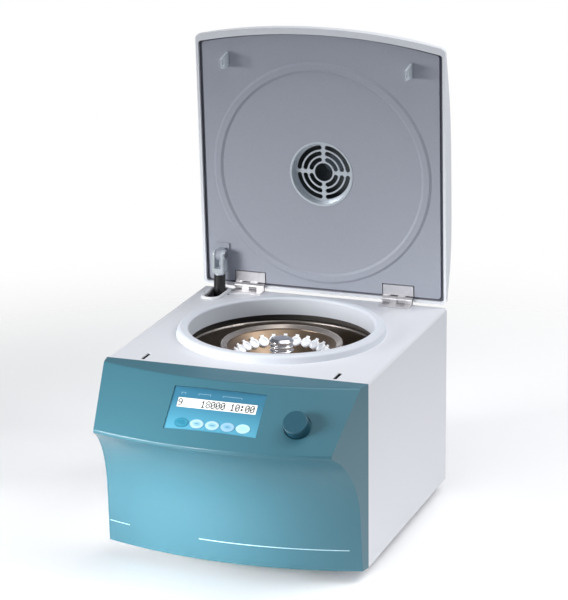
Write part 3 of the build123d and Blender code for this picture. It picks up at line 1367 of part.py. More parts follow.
def sub_parts():
    nodes = {
        "base_plate": base_plate(),
        "rubber_feet": rubber_feet(),
        "housing_cover": housing_cover(),
        "strut_bezel": strut_bezel(),
        "front_bulkhead": front_bulkhead(),
        "rear_panel": rear_panel(),
        "rear_screws": rear_screws(),
        "front_fascia": front_fascia(),
        "control_panel": control_panel(),
        "lcd_display": lcd_display(),
        "control_board": control_board(),
        "control_knob": control_knob(),
        "knob_encoder": knob_encoder(),
        "chamber_seal": chamber_seal(),
        "rotor_chamber": rotor_chamber(),
        "insulation_ring": insulation_ring(),
        "guard_ring": guard_ring(),
        "motor_deck": motor_deck(),
        "deck_posts": deck_posts(),
        "motor_dampers": motor_dampers(),
        "motor_housing": motor_housing(),
        "shaft_boot": shaft_boot(),
        "motor_shaft": motor_shaft(),
        "rotor_body": rotor_body(),
        "rotor_rim": rotor_rim(),
        "sample_tubes": sample_tubes(),
        "rotor_nut": rotor_nut(),
        "lid_shell": swing_open(lid_shell()),
        "lid_liner": swing_open(lid_liner()),
        "edge_strip": swing_open(edge_strip()),
        "vent_grille": swing_open(vent_grille()),
        "grille_duct": swing_open(grille_duct()),
        "view_window": swing_open(view_window()),
        "striker_left": swing_open(striker(-1)),
        "striker_right": swing_open(striker(1)),
        "hinge_pins": hinge_pins(),
        "housing_hinge_left": housing_hinge(-1),
        "housing_hinge_right": housing_hinge(1),
        "lid_hinge_left": swing_open(lid_hinge(-1)),
        "lid_hinge_right": swing_open(lid_hinge(1)),
        "lock_housing_left": lock_housing(-1),
        "lock_housing_right": lock_housing(1),
        "lock_bolt_left": lock_bolt(-1),
        "lock_bolt_right": lock_bolt(1),
        "strut_lug": swing_open(strut_lug()),
        "strut_clevis": strut_clevis(),
        "clevis_pin": clevis_pin(),
        "strut_cylinder": strut_cylinder(),
        "strut_rod": strut_rod(),
        "strut_bracket": strut_bracket(),
        "mains_inlet": mains_inlet(),
        "switch_frame": switch_frame(),
        "switch_rocker": switch_rocker(),
        "power_board": power_board(),
    }
    for name, x in zip(KEY_NAMES, key_places()):
        nodes[name] = panel_key(x)
    return nodes


os.makedirs("parts", exist_ok=True)
for node, shape in sub_parts().items():
    solid = Compound(children=shape) if isinstance(shape, list) else shape
    export_step(solid, f"parts/{node}.step")
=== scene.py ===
import math

import bmesh
import bpy
from mathutils import Matrix, Vector
from mathutils.bvhtree import BVHTree


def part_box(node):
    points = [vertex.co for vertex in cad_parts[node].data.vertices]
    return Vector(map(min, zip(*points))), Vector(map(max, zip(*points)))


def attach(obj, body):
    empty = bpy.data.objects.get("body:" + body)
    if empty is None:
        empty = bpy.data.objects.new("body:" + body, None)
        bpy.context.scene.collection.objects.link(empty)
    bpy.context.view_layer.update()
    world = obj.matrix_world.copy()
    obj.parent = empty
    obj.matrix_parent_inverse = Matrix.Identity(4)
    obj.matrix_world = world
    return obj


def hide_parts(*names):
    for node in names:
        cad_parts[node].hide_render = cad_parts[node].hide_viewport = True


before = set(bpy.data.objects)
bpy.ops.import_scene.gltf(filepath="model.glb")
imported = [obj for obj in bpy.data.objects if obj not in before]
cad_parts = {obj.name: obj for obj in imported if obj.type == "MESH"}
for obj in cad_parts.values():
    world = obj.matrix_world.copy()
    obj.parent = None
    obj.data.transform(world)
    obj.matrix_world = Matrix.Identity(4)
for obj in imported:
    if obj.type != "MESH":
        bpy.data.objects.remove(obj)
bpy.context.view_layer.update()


# Camera.
# A long lens on a stand, slightly right of the machine and above it, rolled by half a degree.
# It stands far back, so the upright edges stay almost parallel.
CAMERA_AZIMUTH = math.radians(20.03)
CAMERA_ELEVATION = math.radians(16.72)
CAMERA_ROLL = math.radians(-0.59)
CAMERA_DISTANCE = 3.3896
CAMERA_TARGET = Vector((-0.01117, 0.041, 0.27228))
CAMERA_LENS = 163.435
SENSOR_WIDTH = 36


def place_camera():
    level = math.cos(CAMERA_ELEVATION)
    back = Vector((
        math.sin(CAMERA_AZIMUTH) * level,
        -math.cos(CAMERA_AZIMUTH) * level,
        math.sin(CAMERA_ELEVATION),
    ))
    across = Vector((math.cos(CAMERA_AZIMUTH), math.sin(CAMERA_AZIMUTH), 0))
    upward = back.cross(across)
    right = across * math.cos(CAMERA_ROLL) + upward * math.sin(CAMERA_ROLL)
    up = upward * math.cos(CAMERA_ROLL) - across * math.sin(CAMERA_ROLL)
    camera = bpy.data.objects.new("camera", bpy.data.cameras.new("camera"))
    camera.data.lens = CAMERA_LENS
    camera.data.sensor_width = SENSOR_WIDTH
    turn = Matrix((right, up, back)).transposed().to_4x4()
    camera.matrix_world = Matrix.Translation(CAMERA_TARGET + back * CAMERA_DISTANCE) @ turn
    bpy.context.scene.collection.objects.link(camera)
    bpy.context.scene.camera = camera


place_camera()


# Studio.
# A pale floor melts into a white surround. A low soft box stands front left, one high on the right
# and one overhead; a narrow one in front lays a soft pool of light on the cove of the front moulding.
FLOOR_SIZE = 6.0
FLOOR_SOLID = 0.38
FLOOR_GONE = 1.25
BACKDROP_TONE = (0.98, 0.98, 0.985, 1)
AMBIENT_TONE = (0.86, 0.91, 1.0, 1)
AMBIENT_STRENGTH = 0.20


def soft_box(name, place, aim, size, power, spread=180):
    """A flat rectangular light; the spread, in degrees, is narrow where a grid covers it."""
    light = bpy.data.lights.new(name, "AREA")
    light.shape = "RECTANGLE"
    light.size, light.size_y = size
    light.energy = power
    light.spread = math.radians(spread)
    lamp = bpy.data.objects.new(name, light)
    lamp.location = place
    lamp.rotation_euler = (Vector(aim) - Vector(place)).to_track_quat("-Z", "Y").to_euler()
    bpy.context.scene.collection.objects.link(lamp)


def lay_floor():
    half = FLOOR_SIZE / 2
    mesh = bpy.data.meshes.new("studio_floor")
    corners = [(-half, -half, 0), (half, -half, 0), (half, half, 0), (-half, half, 0)]
    mesh.from_pydata(corners, [], [(0, 1, 2, 3)])
    floor = bpy.data.objects.new("studio_floor", mesh)
    bpy.context.scene.collection.objects.link(floor)
    material = bpy.data.materials.new("studio_floor")
    material.use_nodes = True
    surface = material.node_tree.nodes["Principled BSDF"]
    surface.inputs["Base Color"].default_value = BACKDROP_TONE
    surface.inputs["Roughness"].default_value = 0.7
    surface.inputs["Specular IOR Level"].default_value = 0.1
    tree = material.node_tree
    spot = tree.nodes.new("ShaderNodeTexCoord")
    away = tree.nodes.new("ShaderNodeVectorMath")
    away.operation = "LENGTH"
    fade = tree.nodes.new("ShaderNodeMapRange")
    fade.interpolation_type = "SMOOTHSTEP"
    fade.inputs["From Min"].default_value = FLOOR_SOLID
    fade.inputs["From Max"].default_value = FLOOR_GONE
    fade.inputs["To Min"].default_value = 1
    fade.inputs["To Max"].default_value = 0
    tree.links.new(spot.outputs["Object"], away.inputs[0])
    tree.links.new(away.outputs["Value"], fade.inputs["Value"])
    tree.links.new(fade.outputs["Result"], surface.inputs["Alpha"])
    mesh.materials.append(material)


def light_world():
    world = bpy.data.worlds.new("studio")
    world.use_nodes = True
    tree = world.node_tree
    ambient = tree.nodes["Background"]
    ambient.inputs["Color"].default_value = AMBIENT_TONE
    ambient.inputs["Strength"].default_value = AMBIENT_STRENGTH
    seen = tree.nodes.new("ShaderNodeBackground")
    seen.inputs["Color"].default_value = (1, 1, 1, 1)
    path = tree.nodes.new("ShaderNodeLightPath")
    blend = tree.nodes.new("ShaderNodeMixShader")
    tree.links.new(path.outputs["Is Camera Ray"], blend.inputs[0])
    tree.links.new(ambient.outputs[0], blend.inputs[1])
    tree.links.new(seen.outputs[0], blend.inputs[2])
    tree.links.new(blend.outputs[0], tree.nodes["World Output"].inputs["Surface"])
    bpy.context.scene.world = world


lay_floor()
light_world()
soft_box("front_box", (-1.02, -1.10, 0.42), (-0.08, -0.20, 0.08), (0.8, 0.6), 3.6, 50)
soft_box("cove_box", (-0.75, -2.1, 0.30), (-0.065, -0.2, 0.065), (0.15, 0.15), 0.24, 10)
soft_box("rear_box", (1.6, 0.50, 2.0), (0, 0, 0.2), (1.5, 1.5), 38)
soft_box("top_box", (0.45, -0.10, 2.5), (0, 0, 0.1), (1.8, 1.8), 24)
bpy.context.scene.view_settings.view_transform = "Standard"


# Sheet-metal casing.
# One sheet is folded into the top and both sides, over a tray; all of it is powder-coated a cool white.
# The coat has the fine, soft grain of a baked powder finish.
COAT_WHITE = (0.69, 0.70, 0.74, 1)


class Tone:
    """One socket of a material, so that sums and products read as plain arithmetic."""

    def __init__(self, finish, socket):
        self.finish = finish
        self.socket = socket

    def maths(self, operation, *terms):
        return self.finish.node("ShaderNodeMath", {"operation": operation}, dict(enumerate(terms)))

    def __radd__(self, other):
        return self.maths("ADD", other, self)

    def __rsub__(self, other):
        return self.maths("SUBTRACT", other, self)

    def __mul__(self, other):
        return self.maths("MULTIPLY", self, other)

    def clamp(self):
        return self.finish.node("ShaderNodeClamp", {}, {"Value": self})


class Finish:
    """A surface finish that is built up from nodes and then put on nodes of the frame or on pieces."""

    def __init__(self, name, **surface):
        self.material = bpy.data.materials.new(name)
        self.material.use_nodes = True
        self.tree = self.material.node_tree
        self.surface = self.tree.nodes["Principled BSDF"]
        self.set(**surface)

    def feed(self, socket, value):
        if isinstance(value, Tone):
            self.tree.links.new(value.socket, socket)
        else:
            socket.default_value = value

    def set(self, **surface):
        """Sets the surface's sockets; an underscore in a name stands for a space."""
        for name, value in surface.items():
            self.feed(self.surface.inputs[name.replace("_", " ")], value)

    def node(self, kind, settings, sockets, output=0):
        made = self.tree.nodes.new(kind)
        for name, value in settings.items():
            setattr(made, name, value)
        for name, value in sockets.items():
            self.feed(made.inputs[name], value)
        return Tone(self, made.outputs[output])

    def place(self):
        return self.node("ShaderNodeTexCoord", {}, {}, "Object")

    def stretched(self, scale):
        return self.node("ShaderNodeVectorMath", {"operation": "MULTIPLY"}, {0: self.place(), 1: scale})

    def along(self, axis):
        return self.node("ShaderNodeSeparateXYZ", {}, {0: self.place()}, axis)

    def noise(self, scale, detail=4.0, where=None):
        return self.node(
            "ShaderNodeTexNoise", {}, {"Vector": where or self.place(), "Scale": scale, "Detail": detail}
        )

    def mix(self, share, first, second):
        return self.node("ShaderNodeMix", {"data_type": "RGBA"}, {0: share, 6: first, 7: second}, 2)

    def bump(self, height, depth, strength=0.5):
        normal = self.node("ShaderNodeBump", {}, {"Height": height, "Distance": depth, "Strength": strength})
        self.set(Normal=normal)

    def put_on(self, *targets):
        for target in targets:
            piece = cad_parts[target] if isinstance(target, str) else target
            piece.data.materials.clear()
            piece.data.materials.append(self.material)


coat = Finish("powder_coat", Roughness=0.42, Coat_Weight=0.15, Coat_Roughness=0.3)
patch = coat.noise(9.0, 3.0)
coat.set(Base_Color=coat.mix(patch * 0.12, COAT_WHITE, (0.66, 0.68, 0.72, 1)))
coat.bump(coat.noise(2600.0, 2.0), 0.00004, 0.35)
coat.put_on("housing_cover", "base_plate", "front_bulkhead", "rear_panel")


def new_piece(name, mesh_builder, body, finish):
    """Makes one mesh piece from a bmesh, and lets it ride on a body."""
    mesh = bpy.data.meshes.new(name)
    mesh_builder.normal_update()
    mesh_builder.to_mesh(mesh)
    mesh_builder.free()
    piece = bpy.data.objects.new(name, mesh)
    bpy.context.scene.collection.objects.link(piece)
    finish.put_on(piece)
    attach(piece, body)
    return piece


def join_loops(build, loops):
    """Walls between loops of equal length, smooth shaded; the loops are lists of corners."""
    for lower, upper in zip(loops, loops[1:]):
        for index in range(len(lower)):
            after = (index + 1) % len(lower)
            face = build.faces.new((lower[index], lower[after], upper[after], upper[index]))
            face.smooth = True


# Rubber feet and the hidden fixings.
# Moulded black rubber feet, dampers and boot; zinc-plated screws, posts and brackets.
# The feet stand under the base, and the motor deck stands on its posts.
rubber = Finish("black_rubber", Base_Color=(0.02, 0.02, 0.022, 1), Roughness=0.72)
rubber.bump(rubber.noise(900.0, 4.0), 0.0001)
rubber.put_on("rubber_feet", "motor_dampers", "shaft_boot")

zinc = Finish("zinc_plate", Metallic=1.0)
spangle = zinc.noise(380.0, 5.0)
zinc.set(
    Base_Color=zinc.mix(spangle, (0.50, 0.51, 0.53, 1), (0.68, 0.69, 0.70, 1)), Roughness=0.28 + spangle * 0.14
)
zinc.put_on(
    "rear_screws", "deck_posts", "motor_deck", "strut_bracket", "knob_encoder", "guard_ring",
    "lock_bolt_left", "lock_bolt_right",
)


# Front moulding.
# A thick foamed-plastic moulding, painted a clear sea green with a satin coat. It is fastened to the
# front bulkhead behind it; two thin pale lines are printed along its foot.
FRONT_GREEN = (0.045, 0.148, 0.194, 1)
front = Finish("sea_green_paint", Roughness=0.36, Coat_Weight=0.3, Coat_Roughness=0.12)
front.set(Specular_IOR_Level=0.35)
cloud = front.noise(14.0, 3.0)
front.set(Base_Color=front.mix(cloud * 0.25, FRONT_GREEN, (0.053, 0.166, 0.214, 1)))
front.bump(front.noise(1500.0, 3.0), 0.00003, 0.3)
front.put_on("front_fascia")

TRIM_HEIGHT = 0.0418
TRIM_WIDE = 0.00105
TRIM_SUNK = 0.0001
TRIM_PROUD = 0.00014
TRIM_STEP = 0.0024
TRIM_REACH = -0.4
TRIM_RUNS = ((-0.1595, -0.1305), (-0.0345, 0.1480))


def lay_trim_lines():
    """Two thin lines with a gap between them, laid on the skin of the moulding at one height."""
    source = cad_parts["front_fascia"].data
    skin = BVHTree.FromPolygons([v.co for v in source.vertices], [p.vertices for p in source.polygons])
    build = bmesh.new()
    for start, end in TRIM_RUNS:
        count = round((end - start) / TRIM_STEP)
        loops = []
        for step in range(count + 1):
            across = start + (end - start) * step / count
            loop = []
            for up, lift in ((-1, -TRIM_SUNK), (1, -TRIM_SUNK), (1, TRIM_PROUD), (-1, TRIM_PROUD)):
                origin = Vector((across, TRIM_REACH, TRIM_HEIGHT + up * TRIM_WIDE / 2))
                spot, normal, _, _ = skin.ray_cast(origin, Vector((0, 1, 0)))
                outward = normal if normal.y < 0 else -normal
                loop.append(build.verts.new(spot + outward * lift))
            loops.append(loop)
        join_loops(build, loops)
        build.faces.new(loops[0][::-1])
        build.faces.new(loops[-1])
    bmesh.ops.recalc_face_normals(build, faces=build.faces)
    ink = Finish("trim_print", Base_Color=(0.50, 0.72, 0.78, 1), Roughness=0.4)
    new_piece("trim_lines", build, "housing", ink)


lay_trim_lines()


# Control panel.
# A printed film in deep blue lines the recess, round a pale reflective display and five domed keys.
# The read-out is a dot matrix; the keys are embossed ovals and their rings are printed.
RIDGE = Vector((0, -0.20227, 0.244))
FACE_DOWN = Vector((0, -math.sqrt(0.5), -math.sqrt(0.5)))
FACE_OUT = Vector((0, -math.sqrt(0.5), math.sqrt(0.5)))
FILM_HEIGHT = -0.0035
GLASS_HEIGHT = -0.0038
GLASS_LEFT = -0.0492
GLASS_TOP = 0.0242
CELL = 0.00615
DOT_ACROSS = 0.00102
DOT_DOWN = 0.00132
DOT_SPREAD = 0.00013
DOT_THICK = 0.00006
DIGITS = {
    "0": (14, 17, 19, 21, 25, 17, 14), "1": (4, 12, 4, 4, 4, 4, 14), "8": (14, 17, 17, 14, 17, 17, 14),
    "9": (14, 17, 17, 15, 1, 2, 12), ":": (0, 12, 12, 0, 12, 12, 0),
}
DOT_TALL = DOT_DOWN * 0.97
DOT_COLUMNS = 5
DIGIT_DROP = 0.0016
PRINT_SINK = 0.00002
READ_OUT = ((0.15, "9"), (4.8, "18000"), (10.75, "10:00"))


def on_control_face(across, down, out):
    return RIDGE + Vector((across, 0, 0)) + FACE_DOWN * down + FACE_OUT * out


def raised_outline(build, outline, place, low, high):
    """A flat-topped island: an outline in the plane of the panel, lifted from one height to another."""
    base = [build.verts.new(place(x, y, low)) for x, y in outline]
    top = [build.verts.new(place(x, y, high)) for x, y in outline]
    count = len(outline)
    build.faces.new(top)
    build.faces.new(base[::-1])
    for index in range(count):
        after = (index + 1) % count
        build.faces.new((base[index], base[after], top[after], top[index]))


def dot_outline(x, y, across, down):
    return [(x, y + down), (x + across, y + down), (x + across, y), (x, y)]


def lit_runs(bits):
    """The runs of lit dots in one row of a digit, as first and last column."""
    columns = [step for step in range(DOT_COLUMNS) if bits >> (DOT_COLUMNS - 1 - step) & 1]
    starts = [step for step in columns if step - 1 not in columns]
    ends = [step for step in columns if step + 1 not in columns]
    return zip(starts, ends)


def lay_read_out():
    build = bmesh.new()
    for column, text in READ_OUT:
        for place, letter in enumerate(text):
            left = GLASS_LEFT + (column + place) * CELL
            for row, bits in enumerate(DIGITS[letter]):
                y = GLASS_TOP + DIGIT_DROP + row * DOT_DOWN
                for first, last in lit_runs(bits):
                    x = left + first * DOT_ACROSS - DOT_SPREAD
                    across = (last - first + 1) * DOT_ACROSS + 2 * DOT_SPREAD
                    raised_outline(
                        build, dot_outline(x, y, across, DOT_TALL), on_control_face,
                        GLASS_HEIGHT - PRINT_SINK, GLASS_HEIGHT + DOT_THICK,
                    )
    ink = Finish("display_segments", Base_Color=(0.02, 0.018, 0.02, 1), Roughness=0.6)
    ink.set(Specular_IOR_Level=0.15)
    new_piece("display_readout", build, "housing", ink)


FILM_TOP = 0.2245
FILM_FADE = 34.0
film = Finish("panel_film", Roughness=0.32, Coat_Weight=0.25, Coat_Roughness=0.2)
# The film is painted darker at the top of the recess and lighter towards its foot: painted shade and painted
# light.
painted_light_fade = ((FILM_TOP - film.along(2)) * FILM_FADE).clamp()
film.set(Base_Color=film.mix(painted_light_fade, (0.035, 0.17, 0.27, 1), (0.09, 0.35, 0.49, 1)))
film.bump(film.noise(2400.0, 2.0), 0.00002, 0.2)
film.put_on("control_panel")
display = Finish("display_glass", Base_Color=(0.88, 0.90, 0.88, 1), Roughness=0.25, Coat_Weight=0.3)
display.put_on("lcd_display")
lay_read_out()

KEY_NAMES = ("stop_key", "start_key", "pulse_key", "select_key", "lid_key")
KEY_TONES = (
    (0.02, 0.19, 0.29, 1), (0.22, 0.46, 0.62, 1), (0.22, 0.46, 0.62, 1), (0.17, 0.40, 0.56, 1),
    (0.36, 0.66, 0.74, 1),
)
RING_TONES = (
    (0.03, 0.23, 0.34, 1), (0.38, 0.57, 0.72, 1), (0.38, 0.57, 0.72, 1), (0.28, 0.48, 0.64, 1),
    (0.44, 0.72, 0.79, 1),
)
KEY_LONG = 0.0174
KEY_WIDE = 0.0118
KEY_TOP = -0.0031
KEY_DOWN = 0.0564
KEY_DOME = 0.00028
KEY_GAP = 0.0008
PAD_LONG = KEY_LONG * 0.60
PAD_WIDE = KEY_WIDE * 0.52
PAD_LIFT = 0.0001
PAD_DOME = 0.0004
MARK_LIFT = 0.00062
DOME_LEVELS = 6
RING_STEPS = 48
KEY_MARKS = {
    "start_key": (0.0022, 0.0004),
    "pulse_key": (0.0026, 0.0004),
    "select_key": (0.0016, 0.0006),
}


def oval_point(angle, long, wide):
    return math.cos(angle) * long / 2, math.sin(angle) * wide / 2


def oval_dome(build, middle, long, wide, low, rise):
    """A shallow pillow with an oval outline, laid in rings from the edge to the crown."""
    rings = []
    for level in range(DOME_LEVELS + 1):
        share = level / DOME_LEVELS
        inward = math.cos(share * math.pi / 2)
        lift = low + rise * math.sin(share * math.pi / 2)
        if level == DOME_LEVELS:
            rings.append([build.verts.new(on_control_face(middle, KEY_DOWN, lift))])
            continue
        ring = []
        for step in range(RING_STEPS):
            x, y = oval_point(2 * math.pi * step / RING_STEPS, long * inward, wide * inward)
            ring.append(build.verts.new(on_control_face(middle + x, KEY_DOWN - y, lift)))
        rings.append(ring)
    for lower, upper in zip(rings, rings[1:]):
        for step in range(RING_STEPS):
            after = (step + 1) % RING_STEPS
            if len(upper) == 1:
                build.faces.new((lower[step], lower[after], upper[0]))
            else:
                build.faces.new((lower[step], lower[after], upper[after], upper[step]))
    build.faces.new(rings[0][::-1])
    for face in build.faces:
        face.smooth = True


def key_mark(build, middle, long, wide):
    """A short plain bar on the crown of a key."""
    corners = ((-long, wide), (long, wide), (long, -wide), (-long, -wide))
    outline = [(middle + x, KEY_DOWN + y) for x, y in corners]
    raised_outline(build, outline, on_control_face, KEY_TOP, KEY_TOP + MARK_LIFT)


def dress_keys():
    pad = Finish("key_marks", Base_Color=(0.05, 0.21, 0.34, 1), Roughness=0.4)
    for name, key_tone, ring_tone in zip(KEY_NAMES, KEY_TONES, RING_TONES):
        low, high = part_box(name)
        middle = (low[0] + high[0]) / 2
        body = name.replace("key", "button")
        cap = Finish(name + "_film", Roughness=0.34, Coat_Weight=0.3)
        cap.set(Base_Color=cap.mix(cap.noise(420.0, 2.0) * 0.35, key_tone, ring_tone))
        cap.put_on(name)
        rim = Finish(name + "_ring", Base_Color=ring_tone, Roughness=0.3, Coat_Weight=0.4)
        build = bmesh.new()
        oval_dome(build, middle, KEY_LONG - KEY_GAP, KEY_WIDE - KEY_GAP, KEY_TOP - PRINT_SINK, KEY_DOME)
        new_piece(name + "_ring", build, body, rim)
        build = bmesh.new()
        oval_dome(build, middle, PAD_LONG, PAD_WIDE, KEY_TOP + PAD_LIFT, PAD_DOME)
        new_piece(name + "_pad", build, body, cap)
        if name in KEY_MARKS:
            build = bmesh.new()
            key_mark(build, middle, *KEY_MARKS[name])
            new_piece(name + "_mark", build, body, pad)


dress_keys()


FIELDS = ((-0.0468, -0.0418), (-0.0255, -0.0105), (0.0045, 0.0285))
FIELD_TOP = 0.0176
FIELD_LEG = 0.0022
FIELD_LINE = 0.0003
FIELD_INK = 0.00004


def lay_field_marks():
    """Plain printed brackets over the three fields of the display."""
    build = bmesh.new()
    for left, right in FIELDS:
        for x, across, down in (
            (left, right - left, FIELD_LINE),
            (left, FIELD_LINE, FIELD_LEG),
            (right - FIELD_LINE, FIELD_LINE, FIELD_LEG),
        ):
            raised_outline(
                build, dot_outline(x, FIELD_TOP, across, down), on_control_face,
                FILM_HEIGHT - PRINT_SINK, FILM_HEIGHT + FIELD_INK,
            )
    ink = Finish("pale_print", Base_Color=(0.42, 0.62, 0.74, 1), Roughness=0.4)
    new_piece("field_marks", build, "housing", ink)


lay_field_marks()
board = Finish("circuit_board", Roughness=0.4)
board.set(Base_Color=board.mix(board.noise(240.0, 3.0), (0.008, 0.10, 0.04, 1), (0.02, 0.16, 0.07, 1)))
board.put_on("control_board", "power_board")


# Setting knob.
# A moulded knob, soft-touch painted in a darker green than the front.
# It is pushed onto the shaft of its encoder.
knob = Finish("knob_paint", Base_Color=(0.010, 0.072, 0.108, 1), Roughness=0.45)
knob.bump(knob.noise(1800.0, 2.0), 0.00004)
knob.put_on("control_knob")


# Chamber seal.
# A moulded ring of pale grey silicone rubber, pressed into the round opening of the cover.
# Its surface is matt, with a trace of dust.
silicone = Finish("grey_silicone", Roughness=0.5)
dust = silicone.noise(60.0, 4.0)
silicone.set(Base_Color=silicone.mix(dust * 0.3, (0.63, 0.66, 0.715, 1), (0.56, 0.59, 0.645, 1)))
silicone.bump(silicone.noise(1200.0, 3.0), 0.00005, 0.3)
silicone.put_on("chamber_seal")


# Rotor chamber.
# A spun stainless bowl with a rolled rim, under a ring of dark foam; the foam's dark tone is partly its own and
# partly painted shade under the seal.
# The spinning tool leaves fine rings in the metal.
bowl = Finish("spun_steel", Metallic=1.0)
turning = bowl.noise(60.0, 2.0, bowl.stretched((1, 1, 20)))
bowl.set(
    Base_Color=bowl.mix(turning, (0.34, 0.31, 0.285, 1), (0.42, 0.39, 0.36, 1)), Roughness=0.36 + turning * 0.06
)
bowl.put_on("rotor_chamber")
# Partly painted shade: the foam ring's dark tone also stands for the shade under the seal.
foam = Finish("dark_foam", Base_Color=(0.075, 0.068, 0.063, 1), Roughness=0.9)
foam.bump(foam.noise(800.0, 3.0), 0.0002)
foam.put_on("insulation_ring")


# Drive.
# A finned cast-aluminium motor on rubber mounts, with a ground steel shaft.
# The pins of the hinges and of the strut are ground from the same steel.
cast = Finish("cast_aluminium", Metallic=1.0, Base_Color=(0.52, 0.53, 0.54, 1))
cast.set(Roughness=0.4 + cast.noise(300.0, 5.0) * 0.2)
cast.bump(cast.noise(700.0, 4.0), 0.0001)
cast.put_on("motor_housing")
ground = Finish("ground_steel", Metallic=1.0, Base_Color=(0.66, 0.66, 0.67, 1), Roughness=0.2)
ground.put_on("motor_shaft", "hinge_pins", "clevis_pin", "strut_rod")


# Rotor and tubes.
# An anodised aluminium rotor in a warm bronze tone, with translucent polypropylene tubes in its bores; a faint
# bluish emission on the tubes is painted light.
# A ribbed steel nut, turned from bar, holds it on the shaft.
anodised = Finish("bronze_anodising", Metallic=1.0)
lathe = anodised.noise(90.0, 2.0, anodised.stretched((1, 1, 30)))
anodised.set(
    Base_Color=anodised.mix(lathe, (0.20, 0.145, 0.10, 1), (0.29, 0.215, 0.155, 1)),
    Roughness=0.38 + lathe * 0.1,
)
anodised.put_on("rotor_body")
champagne = Finish("champagne_anodising", Metallic=1.0, Base_Color=(0.62, 0.54, 0.47, 1), Roughness=0.24)
champagne.put_on("rotor_rim")
vial_painted_light = Finish("polypropylene", Base_Color=(0.93, 0.94, 0.96, 1), Roughness=0.28, Coat_Weight=0.3)
# Painted light: the tubes are given a faint bluish emission, though they are no lamp.
vial_painted_light.set(Emission_Color=(0.80, 0.87, 1.0, 1), Emission_Strength=0.16)
vial_painted_light.put_on("sample_tubes")

NUT_FOOT = 0.2120
NUT_TOP = 0.2367
NUT_RADIUS = 0.0150
NUT_NECK = 0.0124
NUT_RIBS = 3
NUT_PITCH = 0.0060
NUT_FIRST_RIB = 0.0042
NUT_RIB_HALF = 0.0020
NUT_RIB_TURN = math.radians(27)
NUT_COLLAR = 0.0030
NUT_STEPS = 96


def nut_profile():
    """Radius and height down the ribbed side of the nut, from its crown to its foot."""
    outline = [(0.0050, NUT_TOP), (0.0095, NUT_TOP - 0.0002), (0.0125, NUT_TOP - 0.0010)]
    for rib in range(NUT_RIBS):
        middle = NUT_TOP - NUT_FIRST_RIB - rib * NUT_PITCH
        for turn in range(-3, 4):
            angle = turn * NUT_RIB_TURN
            reach = NUT_NECK + (NUT_RADIUS - NUT_NECK) * math.cos(angle)
            outline.append((reach, middle - NUT_RIB_HALF * math.sin(angle)))
        outline.append((NUT_NECK, middle - NUT_PITCH / 2))
    return outline + [(NUT_RADIUS, NUT_FOOT + NUT_COLLAR), (NUT_RADIUS, NUT_FOOT)]


def turn_nut():
    build = bmesh.new()
    angles = [2 * math.pi * step / NUT_STEPS for step in range(NUT_STEPS)]
    loops = []
    for radius, height in nut_profile():
        points = [(radius * math.cos(angle), radius * math.sin(angle), height) for angle in angles]
        loops.append([build.verts.new(point) for point in points])
    join_loops(build, loops)
    build.faces.new(loops[0])
    build.faces.new(loops[-1])
    bmesh.ops.recalc_face_normals(build, faces=build.faces)
    steel = Finish("turned_steel", Metallic=1.0, Base_Color=(0.66, 0.66, 0.68, 1), Roughness=0.17)
    piece = new_piece("ribbed_nut", build, "spindle", steel)
    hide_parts("rotor_nut")


turn_nut()


# Lid.
# A deep-drawn shell in cool light grey, lined with a matt panel that has a fine, even grain.
# A pale grille closes the air duct, and a rubber strip fills the gap round the panel; its dark tone is partly
# the rubber's own and partly painted shade of the gap.
shell = Finish("lid_shell_paint", Roughness=0.35, Coat_Weight=0.2, Coat_Roughness=0.3)
haze = shell.noise(7.0, 3.0)
shell.set(Base_Color=shell.mix(haze * 0.2, (0.78, 0.80, 0.84, 1), (0.71, 0.73, 0.77, 1)))
shell.bump(shell.noise(1900.0, 2.0), 0.00003, 0.3)
shell.put_on("lid_shell")
liner = Finish("lid_liner", Roughness=0.62)
grain = liner.noise(950.0, 4.0)
liner.set(Base_Color=liner.mix(grain, (0.295, 0.312, 0.365, 1), (0.375, 0.397, 0.46, 1)))
liner.bump(grain, 0.0002, 0.6)
liner.put_on("lid_liner")
dark = Finish("dark_moulding", Base_Color=(0.03, 0.032, 0.036, 1), Roughness=0.55)
dark.put_on("mains_inlet", "switch_frame", "switch_rocker", "lock_housing_left", "lock_housing_right")
# The strip's grey-blue is matched to the darkness of the gap: partly the rubber's colour, partly painted shade.
strip = Finish("edge_rubber", Base_Color=(0.085, 0.085, 0.11, 1), Roughness=0.6)
strip.put_on("edge_strip")
duct = Finish("duct_moulding", Base_Color=(0.10, 0.115, 0.125, 1), Roughness=0.5)
duct.put_on("grille_duct")
grille = Finish("grille_plate", Base_Color=(0.66, 0.71, 0.76, 1), Roughness=0.28, Metallic=0.6)
grille.put_on("vent_grille")
window = Finish("viewing_port", Base_Color=(0.30, 0.36, 0.42, 1), Roughness=0.1, Transmission_Weight=0.4)
window.put_on("view_window")


# Strikers and hinges.
# Pressed steel: the hinge leaves are nickel-plated to a soft shine, the strikers and the fork of the
# strut bright zinc-plated, in a pale half-diffuse tone that is partly painted reflection.
# The leaves turn on ground pins; the strut's lug is painted with the panel.
nickel = Finish("nickel_plate", Metallic=1.0)
rub = nickel.noise(220.0, 4.0)
nickel.set(
    Base_Color=nickel.mix(rub, (0.70, 0.69, 0.70, 1), (0.84, 0.82, 0.83, 1)), Roughness=0.26 + rub * 0.12
)
nickel.put_on("housing_hinge_left", "housing_hinge_right", "lid_hinge_left", "lid_hinge_right")
# Painted reflection: the strikers and fork are only half metallic, so their pale tone stands in for the bright
# room they would mirror.
bright = Finish("bright_zinc", Metallic=0.55, Base_Color=(0.80, 0.86, 0.90, 1), Roughness=0.16)
bright.put_on("striker_left", "striker_right", "strut_clevis")
liner.put_on("strut_lug")


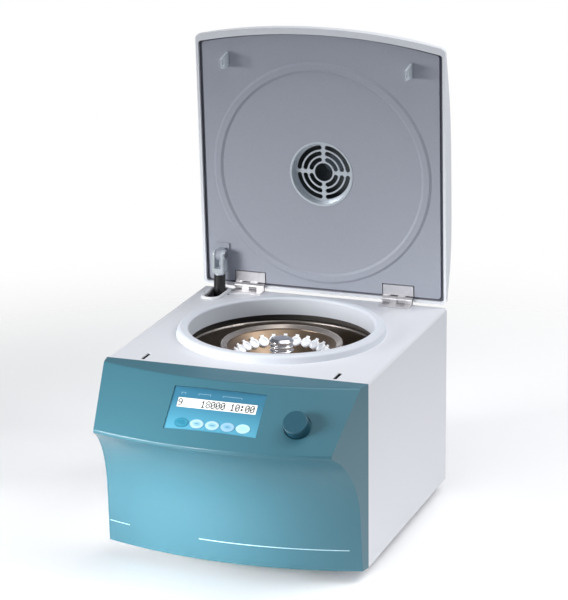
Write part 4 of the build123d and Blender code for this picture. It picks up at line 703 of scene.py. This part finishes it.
# Gas strut.
# A black-painted cylinder that comes up through a white moulded collar with round ends.
# Two small black screws hold the collar on the cover.
gloss = Finish("black_paint", Base_Color=(0.012, 0.012, 0.013, 1), Roughness=0.28, Coat_Weight=0.3)
gloss.put_on("strut_cylinder")
collar = Finish("white_moulding", Base_Color=(0.72, 0.73, 0.76, 1), Roughness=0.45)

OPENING_MIDDLE = Vector((-0.13697, 0.12847, 0))
OPENING_END = 0.014
COLLAR_PROFILE = (
    (0.0109, 0.2415), (0.0109, 0.2440), (0.0140, 0.2440), (0.0140, 0.2447), (0.0137, 0.2458),
    (0.0130, 0.2467), (0.0120, 0.2472), (0.0110, 0.2470), (0.0103, 0.2464), (0.0100, 0.2455),
    (0.0100, 0.2415),
)
END_STEPS = 24
COVER_TOP = 0.244
SCREW_PLACES = (-0.1534, -0.1205)
SCREW_BACK = 0.1313
SCREW_RADIUS = 0.0014
SCREW_RISE = 0.0006
SCREW_PROFILE = ((1.0, -0.2), (1.0, 0.35), (0.86, 0.8), (0.45, 1.0))
SCREW_STEPS = 24


def oblong(reach, height):
    """An outline with round ends at a given reach from the line between the ends' middles."""
    points = []
    for end in (1, -1):
        for step in range(END_STEPS + 1):
            angle = math.pi * step / END_STEPS + (0 if end > 0 else math.pi)
            points.append(OPENING_MIDDLE + Vector((
                reach * math.cos(angle), end * OPENING_END + reach * math.sin(angle), height,
            )))
    return points


def mould_collar():
    build = bmesh.new()
    loops = [[build.verts.new(point) for point in oblong(reach, height)] for reach, height in COLLAR_PROFILE]
    join_loops(build, loops + loops[:1])
    bmesh.ops.recalc_face_normals(build, faces=build.faces)
    piece = new_piece("strut_collar", build, "housing", collar)
    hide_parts("strut_bezel")


def drive_collar_screws():
    """Two small domed heads, seated a little into the cover."""
    build = bmesh.new()
    for across in SCREW_PLACES:
        loops = []
        for share, lift in SCREW_PROFILE:
            reach = SCREW_RADIUS * share
            height = COVER_TOP + SCREW_RISE * lift
            loop = []
            for step in range(SCREW_STEPS):
                angle = 2 * math.pi * step / SCREW_STEPS
                spot = (across + reach * math.cos(angle), SCREW_BACK + reach * math.sin(angle), height)
                loop.append(build.verts.new(spot))
            loops.append(loop)
        join_loops(build, loops)
        build.faces.new(loops[0][::-1])
        build.faces.new(loops[-1])
    new_piece("collar_screws", build, "housing", gloss)


mould_collar()
drive_collar_screws()
